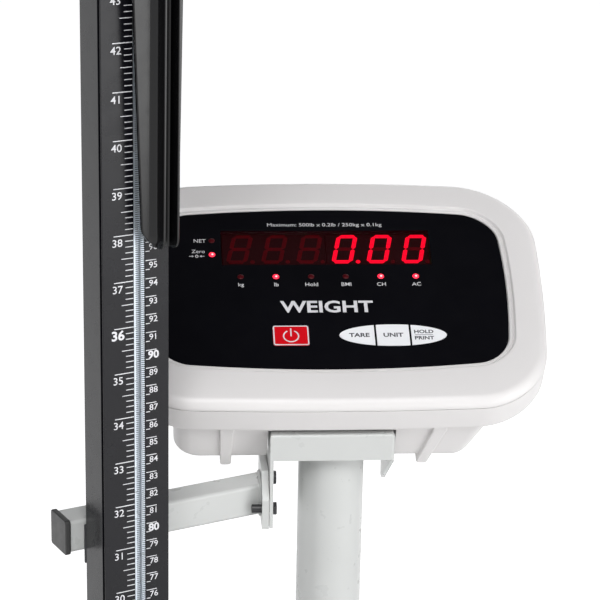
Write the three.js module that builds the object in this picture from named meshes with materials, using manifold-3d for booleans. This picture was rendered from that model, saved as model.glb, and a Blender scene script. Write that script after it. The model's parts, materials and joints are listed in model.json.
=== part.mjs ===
// A digital column scale for a surgery: a low platform on four load cells, a round
// column behind it, a tilted LED head on the column, and a height rod beside it that
// carries a slider with a fold-down headpiece. Millimetres, +X right, +Y back, +Z up.
// The origin is on the floor below the middle of the whole object.
import * as THREE from "three";
import { mergeVertices } from "three/addons/utils/BufferGeometryUtils.js";
import Module from "manifold-3d";

const wasm = await Module();
wasm.setup();

// ---- driving dimensions ----
const GAP = 0.3; // clearance between pieces that touch
const PLATFORM_TOP = 65; // top of the mat, the zero of the height scale
const COLUMN_Y = 160; // column axis, behind the origin
const COLUMN_R = 19.05;
const COLUMN_WALL = 1.5;

const HEAD_ABOVE = 898.6; // centre of the panel above the platform
const HEAD_BEHIND = 38; // centre of the panel behind the column axis
const HEAD_TILT = THREE.MathUtils.degToRad(30); // slope of the panel, its back edge up
const SHELL_WALL = 2.5;
const FACE = 1; // height of the front shell's face above the panel
const PARTING = -5.4; // depth of the seam between the two shells
const RIM_DEPTH = -22.5;
const TUB_DEPTH = -51.3;

const ROD_X = -114; // left edge of the rod's slot, from the column axis
const ROD_Y = -82;
const ROD_TURN = THREE.MathUtils.degToRad(25); // the rod faces the middle of the platform
const ROD_LEFT = -18.1;
const ROD_RIGHT = 20.3;
const ROD_DEPTH = 26;
const SLOT_WIDTH = 6.4;
const SLOT_DEPTH = 8.7;
const RACK_FLOOR = 2.4; // of the slot's lining, behind the rod's face
const RACK_WALL = 2.4; // of the toothed side of the lining
const ROD_BOTTOM = 560; // above the platform
const ROD_TOP = 2045;
const INCH = 25.4;
const REST_READING = 47 * INCH; // height that the headpiece reads at rest

const ARM = 19; // square tube
const ARM_WALL = 1.5;
const ARM_BEHIND = 28; // front of the arm behind the rod's face
const ARM_LEFT = -26;
const UPPER_ARM = 788.2; // middle of each arm above the platform
const LOWER_ARM = 610;
const END_PLATE_X = -37.5; // face of the arm's end plate that meets the column side
const END_PLATE = 4;

const PAN_X = 178;
const PAN_DEPTH = 356;
const PAN_FRONT = -286;
const PAN_LOW = 24;
const PAN_TOP = 62;
const PAN_WALL = 2;
const BASE_LOW = 14;
const BASE_TOP = 18;

// ---- materials ----
const look = (color, roughness, metalness = 0) =>
  new THREE.MeshStandardMaterial({ color, roughness, metalness });
const greyPaint = look(0xc9ccc9, 0.45);
const blackPaint = look(0x2a2a2e, 0.5);
const whitePlastic = look(0xdcdad9, 0.4);
const blackPlastic = look(0x111216, 0.35);
const redPlastic = look(0x4a0a12, 0.25);
const keyRed = look(0xe01020, 0.45);
const keyGrey = look(0xd9dadc, 0.45);
const rubber = look(0x26272a, 0.85);
const brightSteel = look(0xb9bfc6, 0.3, 1);
const zincSteel = look(0x9aa0a4, 0.45, 1);
const aluminium = look(0xb4b6b8, 0.4, 1);
const circuitGreen = look(0x1e5b36, 0.55);
const cableGrey = look(0x55585c, 0.7);
const batteryBlue = look(0x2a4668, 0.6);

// ---- solids ----
function solid(geometry) {
  const bare = geometry.index ? geometry.toNonIndexed() : geometry.clone();
  bare.deleteAttribute("normal");
  bare.deleteAttribute("uv");
  const merged = mergeVertices(bare, 1e-4);
  const mesh = new wasm.Mesh({
    numProp: 3,
    vertProperties: merged.attributes.position.array,
    triVerts: new Uint32Array(merged.index.array),
  });
  return new wasm.Manifold(mesh);
}

function geometryOf(body) {
  const mesh = body.getMesh();
  const geometry = new THREE.BufferGeometry();
  geometry.setAttribute("position", new THREE.BufferAttribute(mesh.vertProperties, 3));
  geometry.setIndex(new THREE.BufferAttribute(mesh.triVerts, 1));
  geometry.computeVertexNormals();
  return geometry;
}

const join = (first, ...rest) => rest.reduce((sum, next) => sum.add(next), first);
const cut = (first, ...rest) => rest.reduce((sum, next) => sum.subtract(next), first);

function block(x0, x1, y0, y1, z0, z1) {
  const geometry = new THREE.BoxGeometry(x1 - x0, y1 - y0, z1 - z0);
  geometry.translate((x0 + x1) / 2, (y0 + y1) / 2, (z0 + z1) / 2);
  return solid(geometry);
}

// A round bar along one axis, from a to b, through the point (u, v) of the other two.
function bar(axis, radius, a, b, u, v, sides = 16) {
  const geometry = new THREE.CylinderGeometry(radius, radius, b - a, sides);
  const middle = (a + b) / 2;
  if (axis === "x") {
    geometry.rotateZ(Math.PI / 2);
    geometry.translate(middle, u, v);
  } else if (axis === "y") {
    geometry.translate(u, middle, v);
  } else {
    geometry.rotateX(Math.PI / 2);
    geometry.translate(u, v, middle);
  }
  return solid(geometry);
}

const shapeOf = (points) => new THREE.Shape(points.map(([x, y]) => new THREE.Vector2(x, y)));

function extruded(shape, from, to) {
  const geometry = new THREE.ExtrudeGeometry(shape, {
    depth: to - from,
    bevelEnabled: false,
    curveSegments: 4,
  });
  geometry.translate(0, 0, from);
  return solid(geometry);
}

// A plate whose outline lies in the YZ plane, from x0 to x1.
function sidePlate(points, x0, x1) {
  const geometry = new THREE.ExtrudeGeometry(shapeOf(points), { depth: x1 - x0, bevelEnabled: false });
  // The outline's own axes become Y and Z, and its depth becomes X.
  geometry.applyMatrix4(new THREE.Matrix4().set(0, 0, 1, x0, 1, 0, 0, 0, 0, 1, 0, 0, 0, 0, 0, 1));
  return solid(geometry);
}

function roundedRect(x0, x1, y0, y1, r) {
  const shape = new THREE.Shape();
  shape.moveTo(x0 + r, y0);
  shape.lineTo(x1 - r, y0);
  shape.absarc(x1 - r, y0 + r, r, -Math.PI / 2, 0);
  shape.lineTo(x1, y1 - r);
  shape.absarc(x1 - r, y1 - r, r, 0, Math.PI / 2);
  shape.lineTo(x0 + r, y1);
  shape.absarc(x0 + r, y1 - r, r, Math.PI / 2, Math.PI);
  shape.lineTo(x0, y0 + r);
  shape.absarc(x0 + r, y0 + r, r, Math.PI, Math.PI * 1.5);
  return shape;
}

const padded = (x0, x1, y0, y1, r, z0, z1) => extruded(roundedRect(x0, x1, y0, y1, r), z0, z1);

// A closed skin over a stack of outlines with equal point counts, lowest first.
function loft(rings) {
  const count = rings[0].length;
  const points = rings.flat();
  const faces = [];
  rings.slice(1).forEach((_, level) => {
    for (let i = 0; i < count; i += 1) {
      const j = (i + 1) % count;
      const low = level * count;
      const high = low + count;
      faces.push(low + i, low + j, high + j, low + i, high + j, high + i);
    }
  });
  const top = (rings.length - 1) * count;
  for (let i = 1; i < count - 1; i += 1) {
    faces.push(0, i + 1, i);
    faces.push(top, top + i, top + i + 1);
  }
  const geometry = new THREE.BufferGeometry();
  geometry.setAttribute("position", new THREE.Float32BufferAttribute(points.flat(), 3));
  geometry.setIndex(faces);
  return solid(geometry);
}

// ---- placing ----
const root = new THREE.Group();
const aboveColumn = new THREE.Group();
aboveColumn.position.set(0, COLUMN_Y, PLATFORM_TOP);
const rodFrame = new THREE.Group();
rodFrame.position.set(ROD_X, ROD_Y, 0);
rodFrame.rotation.z = ROD_TURN;
const headFrame = new THREE.Group();
headFrame.position.set(0, HEAD_BEHIND, HEAD_ABOVE);
headFrame.rotation.x = HEAD_TILT;
root.add(aboveColumn);
aboveColumn.add(rodFrame, headFrame);

function place(parent, name, body, material) {
  const mesh = new THREE.Mesh(geometryOf(body), material);
  mesh.name = name;
  parent.add(mesh);
}

// A solid drawn in the rod's frame, moved into the column's, and one moved back.
const rodMatrix = new THREE.Matrix4().makeRotationZ(ROD_TURN).setPosition(ROD_X, ROD_Y, 0);
const headMatrix = new THREE.Matrix4().makeRotationX(HEAD_TILT).setPosition(0, HEAD_BEHIND, HEAD_ABOVE);
const moved = (body, matrix) => body.transform(matrix.elements);
const fromColumnToRod = (body) => moved(body, rodMatrix.clone().invert());
const fromColumnToHead = (body) => moved(body, headMatrix.clone().invert());

// ---- the base ----
const PAN_BACK = PAN_FRONT + PAN_DEPTH;
const FOOT_X = 150;
const FOOT_INSET = 26; // of each foot from the pan's front and back
const WHEEL_R = 25;
const AXLE_Z = 27.5;
const AXLE_Y = COLUMN_Y + 52;
const TONGUE_X = 52;
const CABLE_R = 2.5;
const CABLE_END = 49.5; // of the signal cable, below the middle of the panel

function makeBase() {
  const plate = join(
    padded(-168, 168, PAN_FRONT + 10, PAN_BACK - 10, 12, BASE_LOW, BASE_TOP),
    padded(-TONGUE_X, TONGUE_X, PAN_BACK - 60, AXLE_Y + 12, 8, BASE_LOW, BASE_TOP),
    block(-TONGUE_X, 4 - TONGUE_X, AXLE_Y - 16, AXLE_Y + 8, BASE_LOW, AXLE_Z + 9),
    block(TONGUE_X - 4, TONGUE_X, AXLE_Y - 16, AXLE_Y + 8, BASE_LOW, AXLE_Z + 9),
  );
  const holes = [bar("x", 4.4, -60, 60, AXLE_Y, AXLE_Z)];
  for (const [x, y] of corners(FOOT_X, FOOT_INSET)) holes.push(bar("z", 5.4, 0, 40, x, y, 12));
  place(root, "base_plate", cut(plate, ...holes), blackPaint);

  const shell = padded(-PAN_X, PAN_X, PAN_FRONT, PAN_BACK, 18, PAN_LOW, PAN_TOP);
  const hollow = padded(
    PAN_WALL - PAN_X,
    PAN_X - PAN_WALL,
    PAN_FRONT + PAN_WALL,
    PAN_BACK - PAN_WALL,
    16,
    PAN_LOW - 1,
    PAN_TOP - PAN_WALL,
  );
  place(root, "platform_cover", cut(shell, hollow), greyPaint);
  const mat = padded(8 - PAN_X, PAN_X - 8, PAN_FRONT + 8, PAN_BACK - 8, 12, PAN_TOP + GAP, PLATFORM_TOP);
  place(root, "platform_mat", mat, rubber);
}

function corners(x, inset) {
  const front = PAN_FRONT + inset;
  const back = PAN_BACK - inset;
  return [
    [-x, front],
    [x, front],
    [-x, back],
    [x, back],
  ];
}

const CORNER_NAMES = ["front_left", "front_right", "rear_left", "rear_right"];

function makeFeetAndCells() {
  corners(FOOT_X, FOOT_INSET).forEach(([x, y], i) => {
    const profile = [
      [0, 0],
      [17, 0],
      [19, 2],
      [19, 6],
      [14, 10],
      [5, 10.5],
      [5, 25],
      [0, 25],
    ].map(([r, z]) => new THREE.Vector2(r, z));
    const foot = new THREE.LatheGeometry(profile, 16);
    foot.rotateX(Math.PI / 2);
    foot.translate(x, y, 0);
    place(root, "foot_" + CORNER_NAMES[i], solid(foot), rubber);

    const side = Math.sign(x);
    const inner = side * 58;
    const outer = side * 132;
    const span = (a, b) => [Math.min(a, b), Math.max(a, b)];
    const [x0, x1] = span(inner, outer);
    const [low0, low1] = span(inner, inner + side * 22);
    const [high0, high1] = span(outer, outer - side * 22);
    const cell = join(
      block(x0, x1, y - 12, y + 12, 23, 45),
      block(low0, low1, y - 12, y + 12, BASE_TOP + GAP, 24),
      block(high0, high1, y - 12, y + 12, 44, PAN_TOP - PAN_WALL - GAP),
    );
    const waist = bar("y", 8, y - 20, y + 20, (inner + outer) / 2, 34, 16);
    place(root, "load_cell_" + CORNER_NAMES[i], cut(cell, waist), aluminium);
  });
}

const CABLE_LOW = 21.3; // height of the signal cable under the pan's rear edge
const BOX_BACK = 20;

function makeWiring() {
  const box = padded(-45, 45, -50, BOX_BACK, 5, BASE_TOP + GAP, 46);
  place(root, "junction_box", box, blackPlastic);
  const bend = 14;
  const start = BOX_BACK + GAP;
  const top = PLATFORM_TOP + HEAD_ABOVE - CABLE_END;
  const route = new THREE.CatmullRomCurve3(
    [
      [0, start, CABLE_LOW],
      [0, (start + COLUMN_Y) / 2, CABLE_LOW],
      [0, COLUMN_Y - bend, CABLE_LOW],
      [0, COLUMN_Y - bend * 0.3, CABLE_LOW + bend * 0.3],
      [0, COLUMN_Y, CABLE_LOW + bend],
      [0, COLUMN_Y, CABLE_LOW + 3 * bend],
      [0, COLUMN_Y, (CABLE_LOW + top) / 2],
      [0, COLUMN_Y, top],
    ].map((p) => new THREE.Vector3(...p)),
    false,
    "centripetal",
  );
  const section = new THREE.Shape();
  section.absarc(0, 0, CABLE_R, 0, Math.PI * 2);
  const cable = new THREE.ExtrudeGeometry(section, {
    steps: 24,
    curveSegments: 2,
    extrudePath: route,
    bevelEnabled: false,
  });
  place(root, "signal_cable", solid(cable), cableGrey);
}

function makeColumn() {
  const flange = padded(-42, 42, COLUMN_Y - 42, COLUMN_Y + 34, 6, BASE_TOP + GAP, BASE_TOP + 6);
  const sleeve = bar("z", COLUMN_R + 5, BASE_TOP + 5, 92, 0, COLUMN_Y, 36);
  const bore = bar("z", COLUMN_R + GAP, BASE_TOP + 6, 100, 0, COLUMN_Y, 36);
  const way = block(-4, 4, COLUMN_Y - 60, COLUMN_Y + 4, BASE_TOP, CABLE_LOW + 4);
  const screwHole = bar("y", 4.3, COLUMN_Y + 10, COLUMN_Y + 40, 0, 70, 16);
  const socket = cut(join(flange, sleeve), bore, way, screwHole, bar("z", 4, 10, 40, 0, COLUMN_Y, 16));
  place(root, "column_socket", socket, blackPaint);

  const tubeTop = PLATFORM_TOP + BRACKET_TOP - SHEET - GAP;
  const outer = bar("z", COLUMN_R, BASE_TOP + 6 + GAP, tubeTop, 0, COLUMN_Y, 36);
  const inner = bar("z", COLUMN_R - COLUMN_WALL, 0, tubeTop + 1, 0, COLUMN_Y, 36);
  place(root, "column_tube", cut(outer, inner, screwHole), greyPaint);

  const screw = join(
    bar("y", 4, COLUMN_Y + 14, COLUMN_Y + 28, 0, 70, 16),
    bar("y", 6.5, COLUMN_Y + COLUMN_R + 5 + GAP, COLUMN_Y + COLUMN_R + 9, 0, 70, 6),
  );
  place(root, "socket_screw", screw, zincSteel);
}

function makeWheels() {
  place(root, "wheel_axle", bar("x", 4, -86, 86, AXLE_Y, AXLE_Z), zincSteel);
  [-1, 1].forEach((side) => {
    const a = side > 0 ? TONGUE_X + 3 : -TONGUE_X - 27;
    const tyre = [
      [4.3, 0],
      [20, 0],
      [WHEEL_R - 2, 2],
      [WHEEL_R, 5],
      [WHEEL_R, 19],
      [WHEEL_R - 2, 22],
      [20, 24],
      [4.3, 24],
      [4.3, 0],
    ].map(([r, z]) => new THREE.Vector2(r, z));
    const wheel = new THREE.LatheGeometry(tyre, 24);
    wheel.rotateZ(-Math.PI / 2);
    wheel.translate(a, AXLE_Y, AXLE_Z);
    place(root, side > 0 ? "wheel_right" : "wheel_left", solid(wheel), rubber);
  });
}

// ---- the bracket on the column ----
const SHEET = 2;
const BRACKET_LEFT = -37.2;
const BRACKET_RIGHT = 34;
const BRACKET_FRONT = -27;
const BRACKET_BACK = 23;
const BRACKET_TOP = 831.7;
const FLANGE = 16; // height of the bracket's front flange
const CHEEK_LOW = 774.2;
const BOLT = { y: -22.7, z: 784.8, end: -47.3 }; // through the left cheek and the arm's end plate
const FLUSH_SCREW = { y: -14, z: 800.5 };
const HEAD_SCREW = { x: 27, y: -1 };

function makeBracket() {
  const front = BRACKET_FRONT;
  const back = BRACKET_BACK;
  const top = BRACKET_TOP;
  const slanted = [
    [front, top - FLANGE],
    [17.5, top - 45],
    [back, top - 45],
    [back, top],
    [front, top],
  ];
  const straight = [
    [front, CHEEK_LOW],
    [back, CHEEK_LOW],
    [back, top],
    [front, top],
  ];
  const bracket = join(
    block(BRACKET_LEFT, BRACKET_RIGHT, front, back, top - SHEET, top),
    block(BRACKET_LEFT, BRACKET_RIGHT, front, front + SHEET, top - FLANGE, top),
    sidePlate(straight, BRACKET_LEFT, BRACKET_LEFT + SHEET),
    sidePlate(slanted, BRACKET_RIGHT - SHEET, BRACKET_RIGHT),
  );
  const holes = [
    bar("z", 6, top - 10, top + 10, 0, 0, 16),
    bar("x", 3, BRACKET_LEFT - 5, BRACKET_LEFT + 5, BOLT.y, BOLT.z, 16),
    bar("x", 3, BRACKET_LEFT - 5, BRACKET_LEFT + 5, FLUSH_SCREW.y, FLUSH_SCREW.z, 16),
    ...[-1, 1].map((side) => bar("z", 2.4, top - 10, top + 10, side * HEAD_SCREW.x, HEAD_SCREW.y, 12)),
  ];
  place(aboveColumn, "head_bracket", cut(bracket, ...holes), greyPaint);

  [-1, 1].forEach((side) => {
    const x = side * HEAD_SCREW.x;
    const screw = join(
      bar("z", 2, top - SHEET - 1, top + 5, x, HEAD_SCREW.y, 12),
      bar("z", 3.8, top - SHEET - 3, top - SHEET - GAP, x, HEAD_SCREW.y, 16),
    );
    place(aboveColumn, side > 0 ? "head_screw_right" : "head_screw_left", screw, zincSteel);
  });
}

// ---- the two arms that carry the rod ----
function makeArm(level, z) {
  const low = z - ARM / 2;
  const high = z + ARM / 2;
  const front = ARM_BEHIND;
  const back = ARM_BEHIND + ARM;
  const lip = 0.8; // of the cap, proud of the tube
  const tube = cut(
    block(ARM_LEFT, 140, front, back, low, high),
    block(ARM_LEFT - 1, 141, front + ARM_WALL, back - ARM_WALL, low + ARM_WALL, high - ARM_WALL),
    fromColumnToRod(block(END_PLATE_X - END_PLATE - GAP, 200, -200, 200, low - 5, high + 5)),
    bar("y", 2.8, 20, 60, 1, z, 12),
  );
  place(rodFrame, level + "_arm", tube, greyPaint);

  const lidLeft = ARM_LEFT - GAP - 3.3;
  const lid = block(lidLeft, ARM_LEFT - GAP, front - lip, back + lip, low - lip, high + lip);
  const wall = ARM_WALL + GAP;
  const plug = block(ARM_LEFT - 1, ARM_LEFT + 8, front + wall, back - wall, low + wall, high - wall);
  place(rodFrame, level + "_arm_cap", join(lid, plug), blackPlastic);

  const clamp = cut(
    block(ROD_LEFT - GAP, ROD_RIGHT + GAP, ROD_DEPTH + GAP, front - GAP, low - 7, high - 3),
    bar("y", 2.8, 20, 60, 1, z, 12),
  );
  place(rodFrame, level + "_clamp_plate", clamp, blackPaint);

  const screw = join(
    bar("y", 2.4, ROD_DEPTH - 5, back + 1, 1, z, 12),
    bar("y", 4.6, back + GAP, back + 3.4, 1, z, 16),
  );
  place(rodFrame, level + "_rod_screw", screw, zincSteel);
}

// The end plate is welded to the arm and bolted to the column side.
function makeEndPlate(level, z) {
  const lift = z - UPPER_ARM;
  const outline = [
    [-28, CHEEK_LOW],
    [17, CHEEK_LOW],
    [17, 805.4],
    [-16, 805.4],
    [-28, 791.6],
  ].map(([y, height]) => [y, height + lift]);
  const plate = cut(
    sidePlate(outline, END_PLATE_X - END_PLATE, END_PLATE_X),
    bar("x", 2.8, -60, -30, BOLT.y, BOLT.z + lift, 16),
    bar("x", 2.8, -60, -30, FLUSH_SCREW.y, FLUSH_SCREW.z + lift, 16),
  );
  place(aboveColumn, level + "_end_plate", plate, greyPaint);
  const seat = BRACKET_LEFT + SHEET + GAP;
  const bolt = join(
    bar("x", 2.5, BOLT.end, seat + 1, BOLT.y, BOLT.z + lift, 16),
    bar("x", 4, seat, seat + 2, BOLT.y, BOLT.z + lift, 6),
  );
  place(aboveColumn, level + "_arm_bolt", bolt, zincSteel);
}

function makeLowerSaddle() {
  const lift = LOWER_ARM - UPPER_ARM;
  const saddle = cut(
    block(BRACKET_LEFT, -8, -28, 22, 770 + lift, 810 + lift),
    block(BRACKET_LEFT + SHEET, -20, -29, -16, 760 + lift, 820 + lift),
    bar("z", COLUMN_R + GAP, 700 + lift, 900 + lift, 0, 0, 36),
    bar("x", 3, -50, -30, BOLT.y, BOLT.z + lift, 16),
  );
  place(aboveColumn, "lower_saddle", saddle, greyPaint);
}

function makeFlushScrew() {
  const seat = BRACKET_LEFT + SHEET + GAP;
  const screw = join(
    bar("x", 2.5, END_PLATE_X - END_PLATE + GAP, seat + 0.8, FLUSH_SCREW.y, FLUSH_SCREW.z, 16),
    bar("x", 3.9, seat, seat + 2, FLUSH_SCREW.y, FLUSH_SCREW.z, 16),
  );
  place(aboveColumn, "upper_arm_screw", screw, zincSteel);
}

// ---- the height rod ----
const GROOVE = { front: 0.8, back: 3.4, depth: 1.4 }; // down each side, for the slider's lips
const CORE = { left: -15.6, right: 17.8, front: 11.2, back: 23.5 };

function makeRod() {
  const { front, back, depth } = GROOVE;
  const section = shapeOf([
    [ROD_LEFT, 0],
    [0, 0],
    [0, SLOT_DEPTH],
    [SLOT_WIDTH, SLOT_DEPTH],
    [SLOT_WIDTH, 0],
    [ROD_RIGHT, 0],
    [ROD_RIGHT, front],
    [ROD_RIGHT - depth, front],
    [ROD_RIGHT - depth, back],
    [ROD_RIGHT, back],
    [ROD_RIGHT, ROD_DEPTH],
    [ROD_LEFT, ROD_DEPTH],
    [ROD_LEFT, back],
    [ROD_LEFT + depth, back],
    [ROD_LEFT + depth, front],
    [ROD_LEFT, front],
  ]);
  const rod = cut(
    extruded(section, ROD_BOTTOM, ROD_TOP),
    block(CORE.left, CORE.right, CORE.front, CORE.back, ROD_BOTTOM - 1, ROD_TOP + 1),
    ...[UPPER_ARM, LOWER_ARM].map((z) => bar("y", 2.7, ROD_DEPTH - 6, ROD_DEPTH + 5, 1, z, 12)),
  );
  place(rodFrame, "height_rod", rod, blackPaint);

  const strip = shapeOf([
    [GAP, SLOT_DEPTH - GAP],
    [GAP, RACK_FLOOR],
    [SLOT_WIDTH - RACK_WALL, RACK_FLOOR],
    [SLOT_WIDTH - RACK_WALL, GAP],
    [SLOT_WIDTH - GAP, GAP],
    [SLOT_WIDTH - GAP, SLOT_DEPTH - GAP],
  ]);
  place(rodFrame, "rack_strip", extruded(strip, ROD_BOTTOM + 1, ROD_TOP - 1), brightSteel);

  const capEnds = [
    ["rod_top_cap", ROD_TOP + GAP, ROD_TOP + 5, ROD_TOP - 12, ROD_TOP + 1],
    ["rod_bottom_cap", ROD_BOTTOM - 5, ROD_BOTTOM - GAP, ROD_BOTTOM - 1, ROD_BOTTOM + 12],
  ];
  for (const [name, low, high, plugLow, plugHigh] of capEnds) {
    const cap = join(
      padded(ROD_LEFT - 0.5, ROD_RIGHT + 0.5, -0.5, ROD_DEPTH + 0.5, 2, low, high),
      block(CORE.left + GAP, CORE.right - GAP, CORE.front + GAP, CORE.back - GAP, plugLow, plugHigh),
    );
    place(rodFrame, name, cap, blackPlastic);
  }
}

// ---- the slider and its headpiece ----
const PIVOT_Y = -12; // of the headpiece, from the rod's face
const HEADPIECE_BACK = -7.5; // side that comes down on the patient's head
const PIVOT_Z = REST_READING + HEADPIECE_BACK - PIVOT_Y;
const HEADPIECE_FACE = -10;
const HEADPIECE_LENGTH = 237.5;
const TIP = { left: 0.5, right: 21.2, leftCorner: 12, rightCorner: 5 }; // the headpiece widens from here
const HUB = { left: -7.8, right: 25.6 };
const RIBS = [7.8, 15.7]; // left side of each rib, at the tip
const RIB_LEAN = 0.0075; // to the right with height
const RIB_WALL = 1.3;
const RIB_FRONT = -19.7;
const EAR_LEFT = HUB.left - 1;
const EAR_RIGHT = HUB.right + 1;
const EAR = 3.6;

function makeSlider() {
  const low = PIVOT_Z - 34;
  const high = PIVOT_Z + 26;
  const left = ROD_LEFT - 4.5;
  const right = EAR_RIGHT + EAR;
  const face = -3.9;
  const lipFront = GROOVE.front + GAP;
  const lipBack = GROOVE.back - GAP;
  const reach = GROOVE.depth - GAP;
  const ear = (x) =>
    join(
      block(x, x + EAR, PIVOT_Y, face + 1, PIVOT_Z - 9, PIVOT_Z + 9),
      bar("x", 9, x, x + EAR, PIVOT_Y, PIVOT_Z, 24),
    );
  const body = join(
    block(left, right, face, -GAP, low, high),
    block(left, ROD_LEFT - GAP, face, 9, low, high),
    block(ROD_RIGHT + GAP, right, face, 9, low, high),
    block(left + 1, ROD_LEFT + reach, lipFront, lipBack, low, high),
    block(ROD_RIGHT - reach, right - 1, lipFront, lipBack, low, high),
    ear(EAR_LEFT - EAR),
    ear(EAR_RIGHT),
  );
  const pinHole = bar("x", 3.1, -20, 40, PIVOT_Y, PIVOT_Z, 16);
  place(rodFrame, "slider_body", cut(body, pinHole), blackPlastic);

  const pawlRight = SLOT_WIDTH - RACK_WALL - GAP;
  const pawl = block(0.8, pawlRight, 0, RACK_FLOOR - GAP, PIVOT_Z - 8, PIVOT_Z + 8);
  place(rodFrame, "rack_pawl", pawl, brightSteel);
  const pin = join(
    bar("x", 2.8, EAR_LEFT - EAR - 1, EAR_RIGHT + EAR + 1, PIVOT_Y, PIVOT_Z, 16),
    bar("x", 4.4, EAR_LEFT - EAR - 2.2, EAR_LEFT - EAR - GAP, PIVOT_Y, PIVOT_Z, 16),
    bar("x", 4.4, EAR_RIGHT + EAR + GAP, EAR_RIGHT + EAR + 2.2, PIVOT_Y, PIVOT_Z, 16),
  );
  place(rodFrame, "headpiece_pin", pin, brightSteel);
}

function makeHeadpiece() {
  const tip = PIVOT_Z - HEADPIECE_LENGTH;
  const { left, right, leftCorner, rightCorner } = TIP;
  const plate = new THREE.Shape();
  plate.moveTo(HUB.left, PIVOT_Z);
  plate.lineTo(left, tip + leftCorner);
  plate.absarc(left + leftCorner, tip + leftCorner, leftCorner, Math.PI, Math.PI * 1.5);
  plate.lineTo(right - rightCorner, tip);
  plate.absarc(right - rightCorner, tip + rightCorner, rightCorner, -Math.PI / 2, 0);
  plate.lineTo(HUB.right, PIVOT_Z);
  const geometry = new THREE.ExtrudeGeometry(plate, {
    depth: HEADPIECE_BACK - HEADPIECE_FACE,
    bevelEnabled: false,
    curveSegments: 6,
  });
  geometry.rotateX(Math.PI / 2);
  geometry.translate(0, HEADPIECE_BACK, 0);
  const slip = -RIB_LEAN * tip;
  const lean = new THREE.Matrix4().set(1, 0, RIB_LEAN, slip, 0, 1, 0, 0, 0, 0, 1, 0, 0, 0, 0, 1);
  const rib = (x) => {
    const side = [
      [HEADPIECE_BACK - 1, tip + 1],
      [RIB_FRONT + 5, tip + 1],
      [RIB_FRONT + 1.5, tip + 2.5],
      [RIB_FRONT, tip + 6],
      [RIB_FRONT, PIVOT_Z - 14],
      [PIVOT_Y - 6, PIVOT_Z],
      [HEADPIECE_BACK - 1, PIVOT_Z],
    ];
    return moved(sidePlate(side, x, x + RIB_WALL), lean);
  };
  const hub = bar("x", 7.2, HUB.left, HUB.right, PIVOT_Y, PIVOT_Z, 24);
  const body = join(solid(geometry), ...RIBS.map(rib), hub);
  const bore = bar("x", 3.1, -20, 40, PIVOT_Y, PIVOT_Z, 16);
  place(rodFrame, "headpiece", cut(body, bore), blackPlastic);
}

// ---- the display head, in the panel's own frame: x right, y up the slope, z out ----
// Both outlines bow outwards at the middle of each side, and lean outwards towards the top.
const PANEL = {
  x: [-105, 105],
  y: [-63, 63.5],
  corners: [17, 20],
  bows: [6, 6],
  sideBow: 4,
  lean: 0.015,
};
const HEAD = {
  x: [-127.5, 127.5],
  y: [-90, 89],
  corners: [38, 44],
  bows: [3, 6],
  sideBow: 5,
  lean: 0.03,
};
const CORNER_STEPS = 5;
const SIDE_STEPS = 4;

// A bowed outline, grown all round, as a ring of points at one height. Each pair of corners or bows is
// the lower one, then the upper one.
function bowedRing({ x: [x0, x1], y: [y0, y1], corners: radii, bows, sideBow, lean }, grow, height) {
  const [low, high] = radii.map((radius) => radius + grow);
  const cx = (x0 + x1) / 2;
  const cy = (y0 + bows[0] + y1 - bows[1]) / 2;
  const halfX = (x1 - x0) / 2 - sideBow + grow;
  const halfY = (y1 - bows[1] - y0 - bows[0]) / 2 + grow;
  const ring = [];
  const centres = [
    [halfX - low, low - halfY, -90, low],
    [halfX - high, halfY - high, 0, high],
    [high - halfX, halfY - high, 90, high],
    [low - halfX, low - halfY, 180, low],
  ];
  centres.forEach(([px, py, start, corner], index) => {
    const arcEnd = [];
    for (let i = 0; i <= CORNER_STEPS; i += 1) {
      const angle = THREE.MathUtils.degToRad(start + (90 * i) / CORNER_STEPS);
      arcEnd.push([px + corner * Math.cos(angle), py + corner * Math.sin(angle)]);
    }
    ring.push(...arcEnd);
    const [nx, ny, nextStart, nextCorner] = centres[(index + 1) % 4];
    const angle = THREE.MathUtils.degToRad(nextStart);
    const next = [nx + nextCorner * Math.cos(angle), ny + nextCorner * Math.sin(angle)];
    const last = arcEnd[CORNER_STEPS];
    for (let i = 1; i < SIDE_STEPS; i += 1) {
      const share = i / SIDE_STEPS;
      ring.push([last[0] + (next[0] - last[0]) * share, last[1] + (next[1] - last[1]) * share]);
    }
  });
  return ring.map(([x, y]) => [
    cx + (x + sideBow * (x / halfX) * (1 - (y / halfY) ** 2)) * (1 + (lean * y) / halfY),
    cy + y + (y > 0 ? bows[1] : bows[0]) * (y / halfY) * (1 - (x / halfX) ** 2),
    height,
  ]);
}

const headRing = (inset, height) => bowedRing(HEAD, -inset, height);
const overlayRing = (grow, height) => bowedRing(PANEL, grow, height);

const EDGE_R = 6.2; // round along the front shell's edge
const WINDOW = { x0: -62.3, x1: 62.6, y0: 18.4, y1: 46.2 };
const KEY_Y = -37.4;
const KEYS = [
  { name: "power", x0: -34.6, x1: -13.8, half: 7.6, ends: 1.5 },
  { name: "tare", x0: 3.7, x1: 24.0, half: 8, ends: 8 },
  { name: "unit", x0: 25.4, x1: 44.2, half: 8, ends: 1 },
  { name: "hold", x0: 45.6, x1: 66.1, half: 8, ends: 8 },
];

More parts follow.
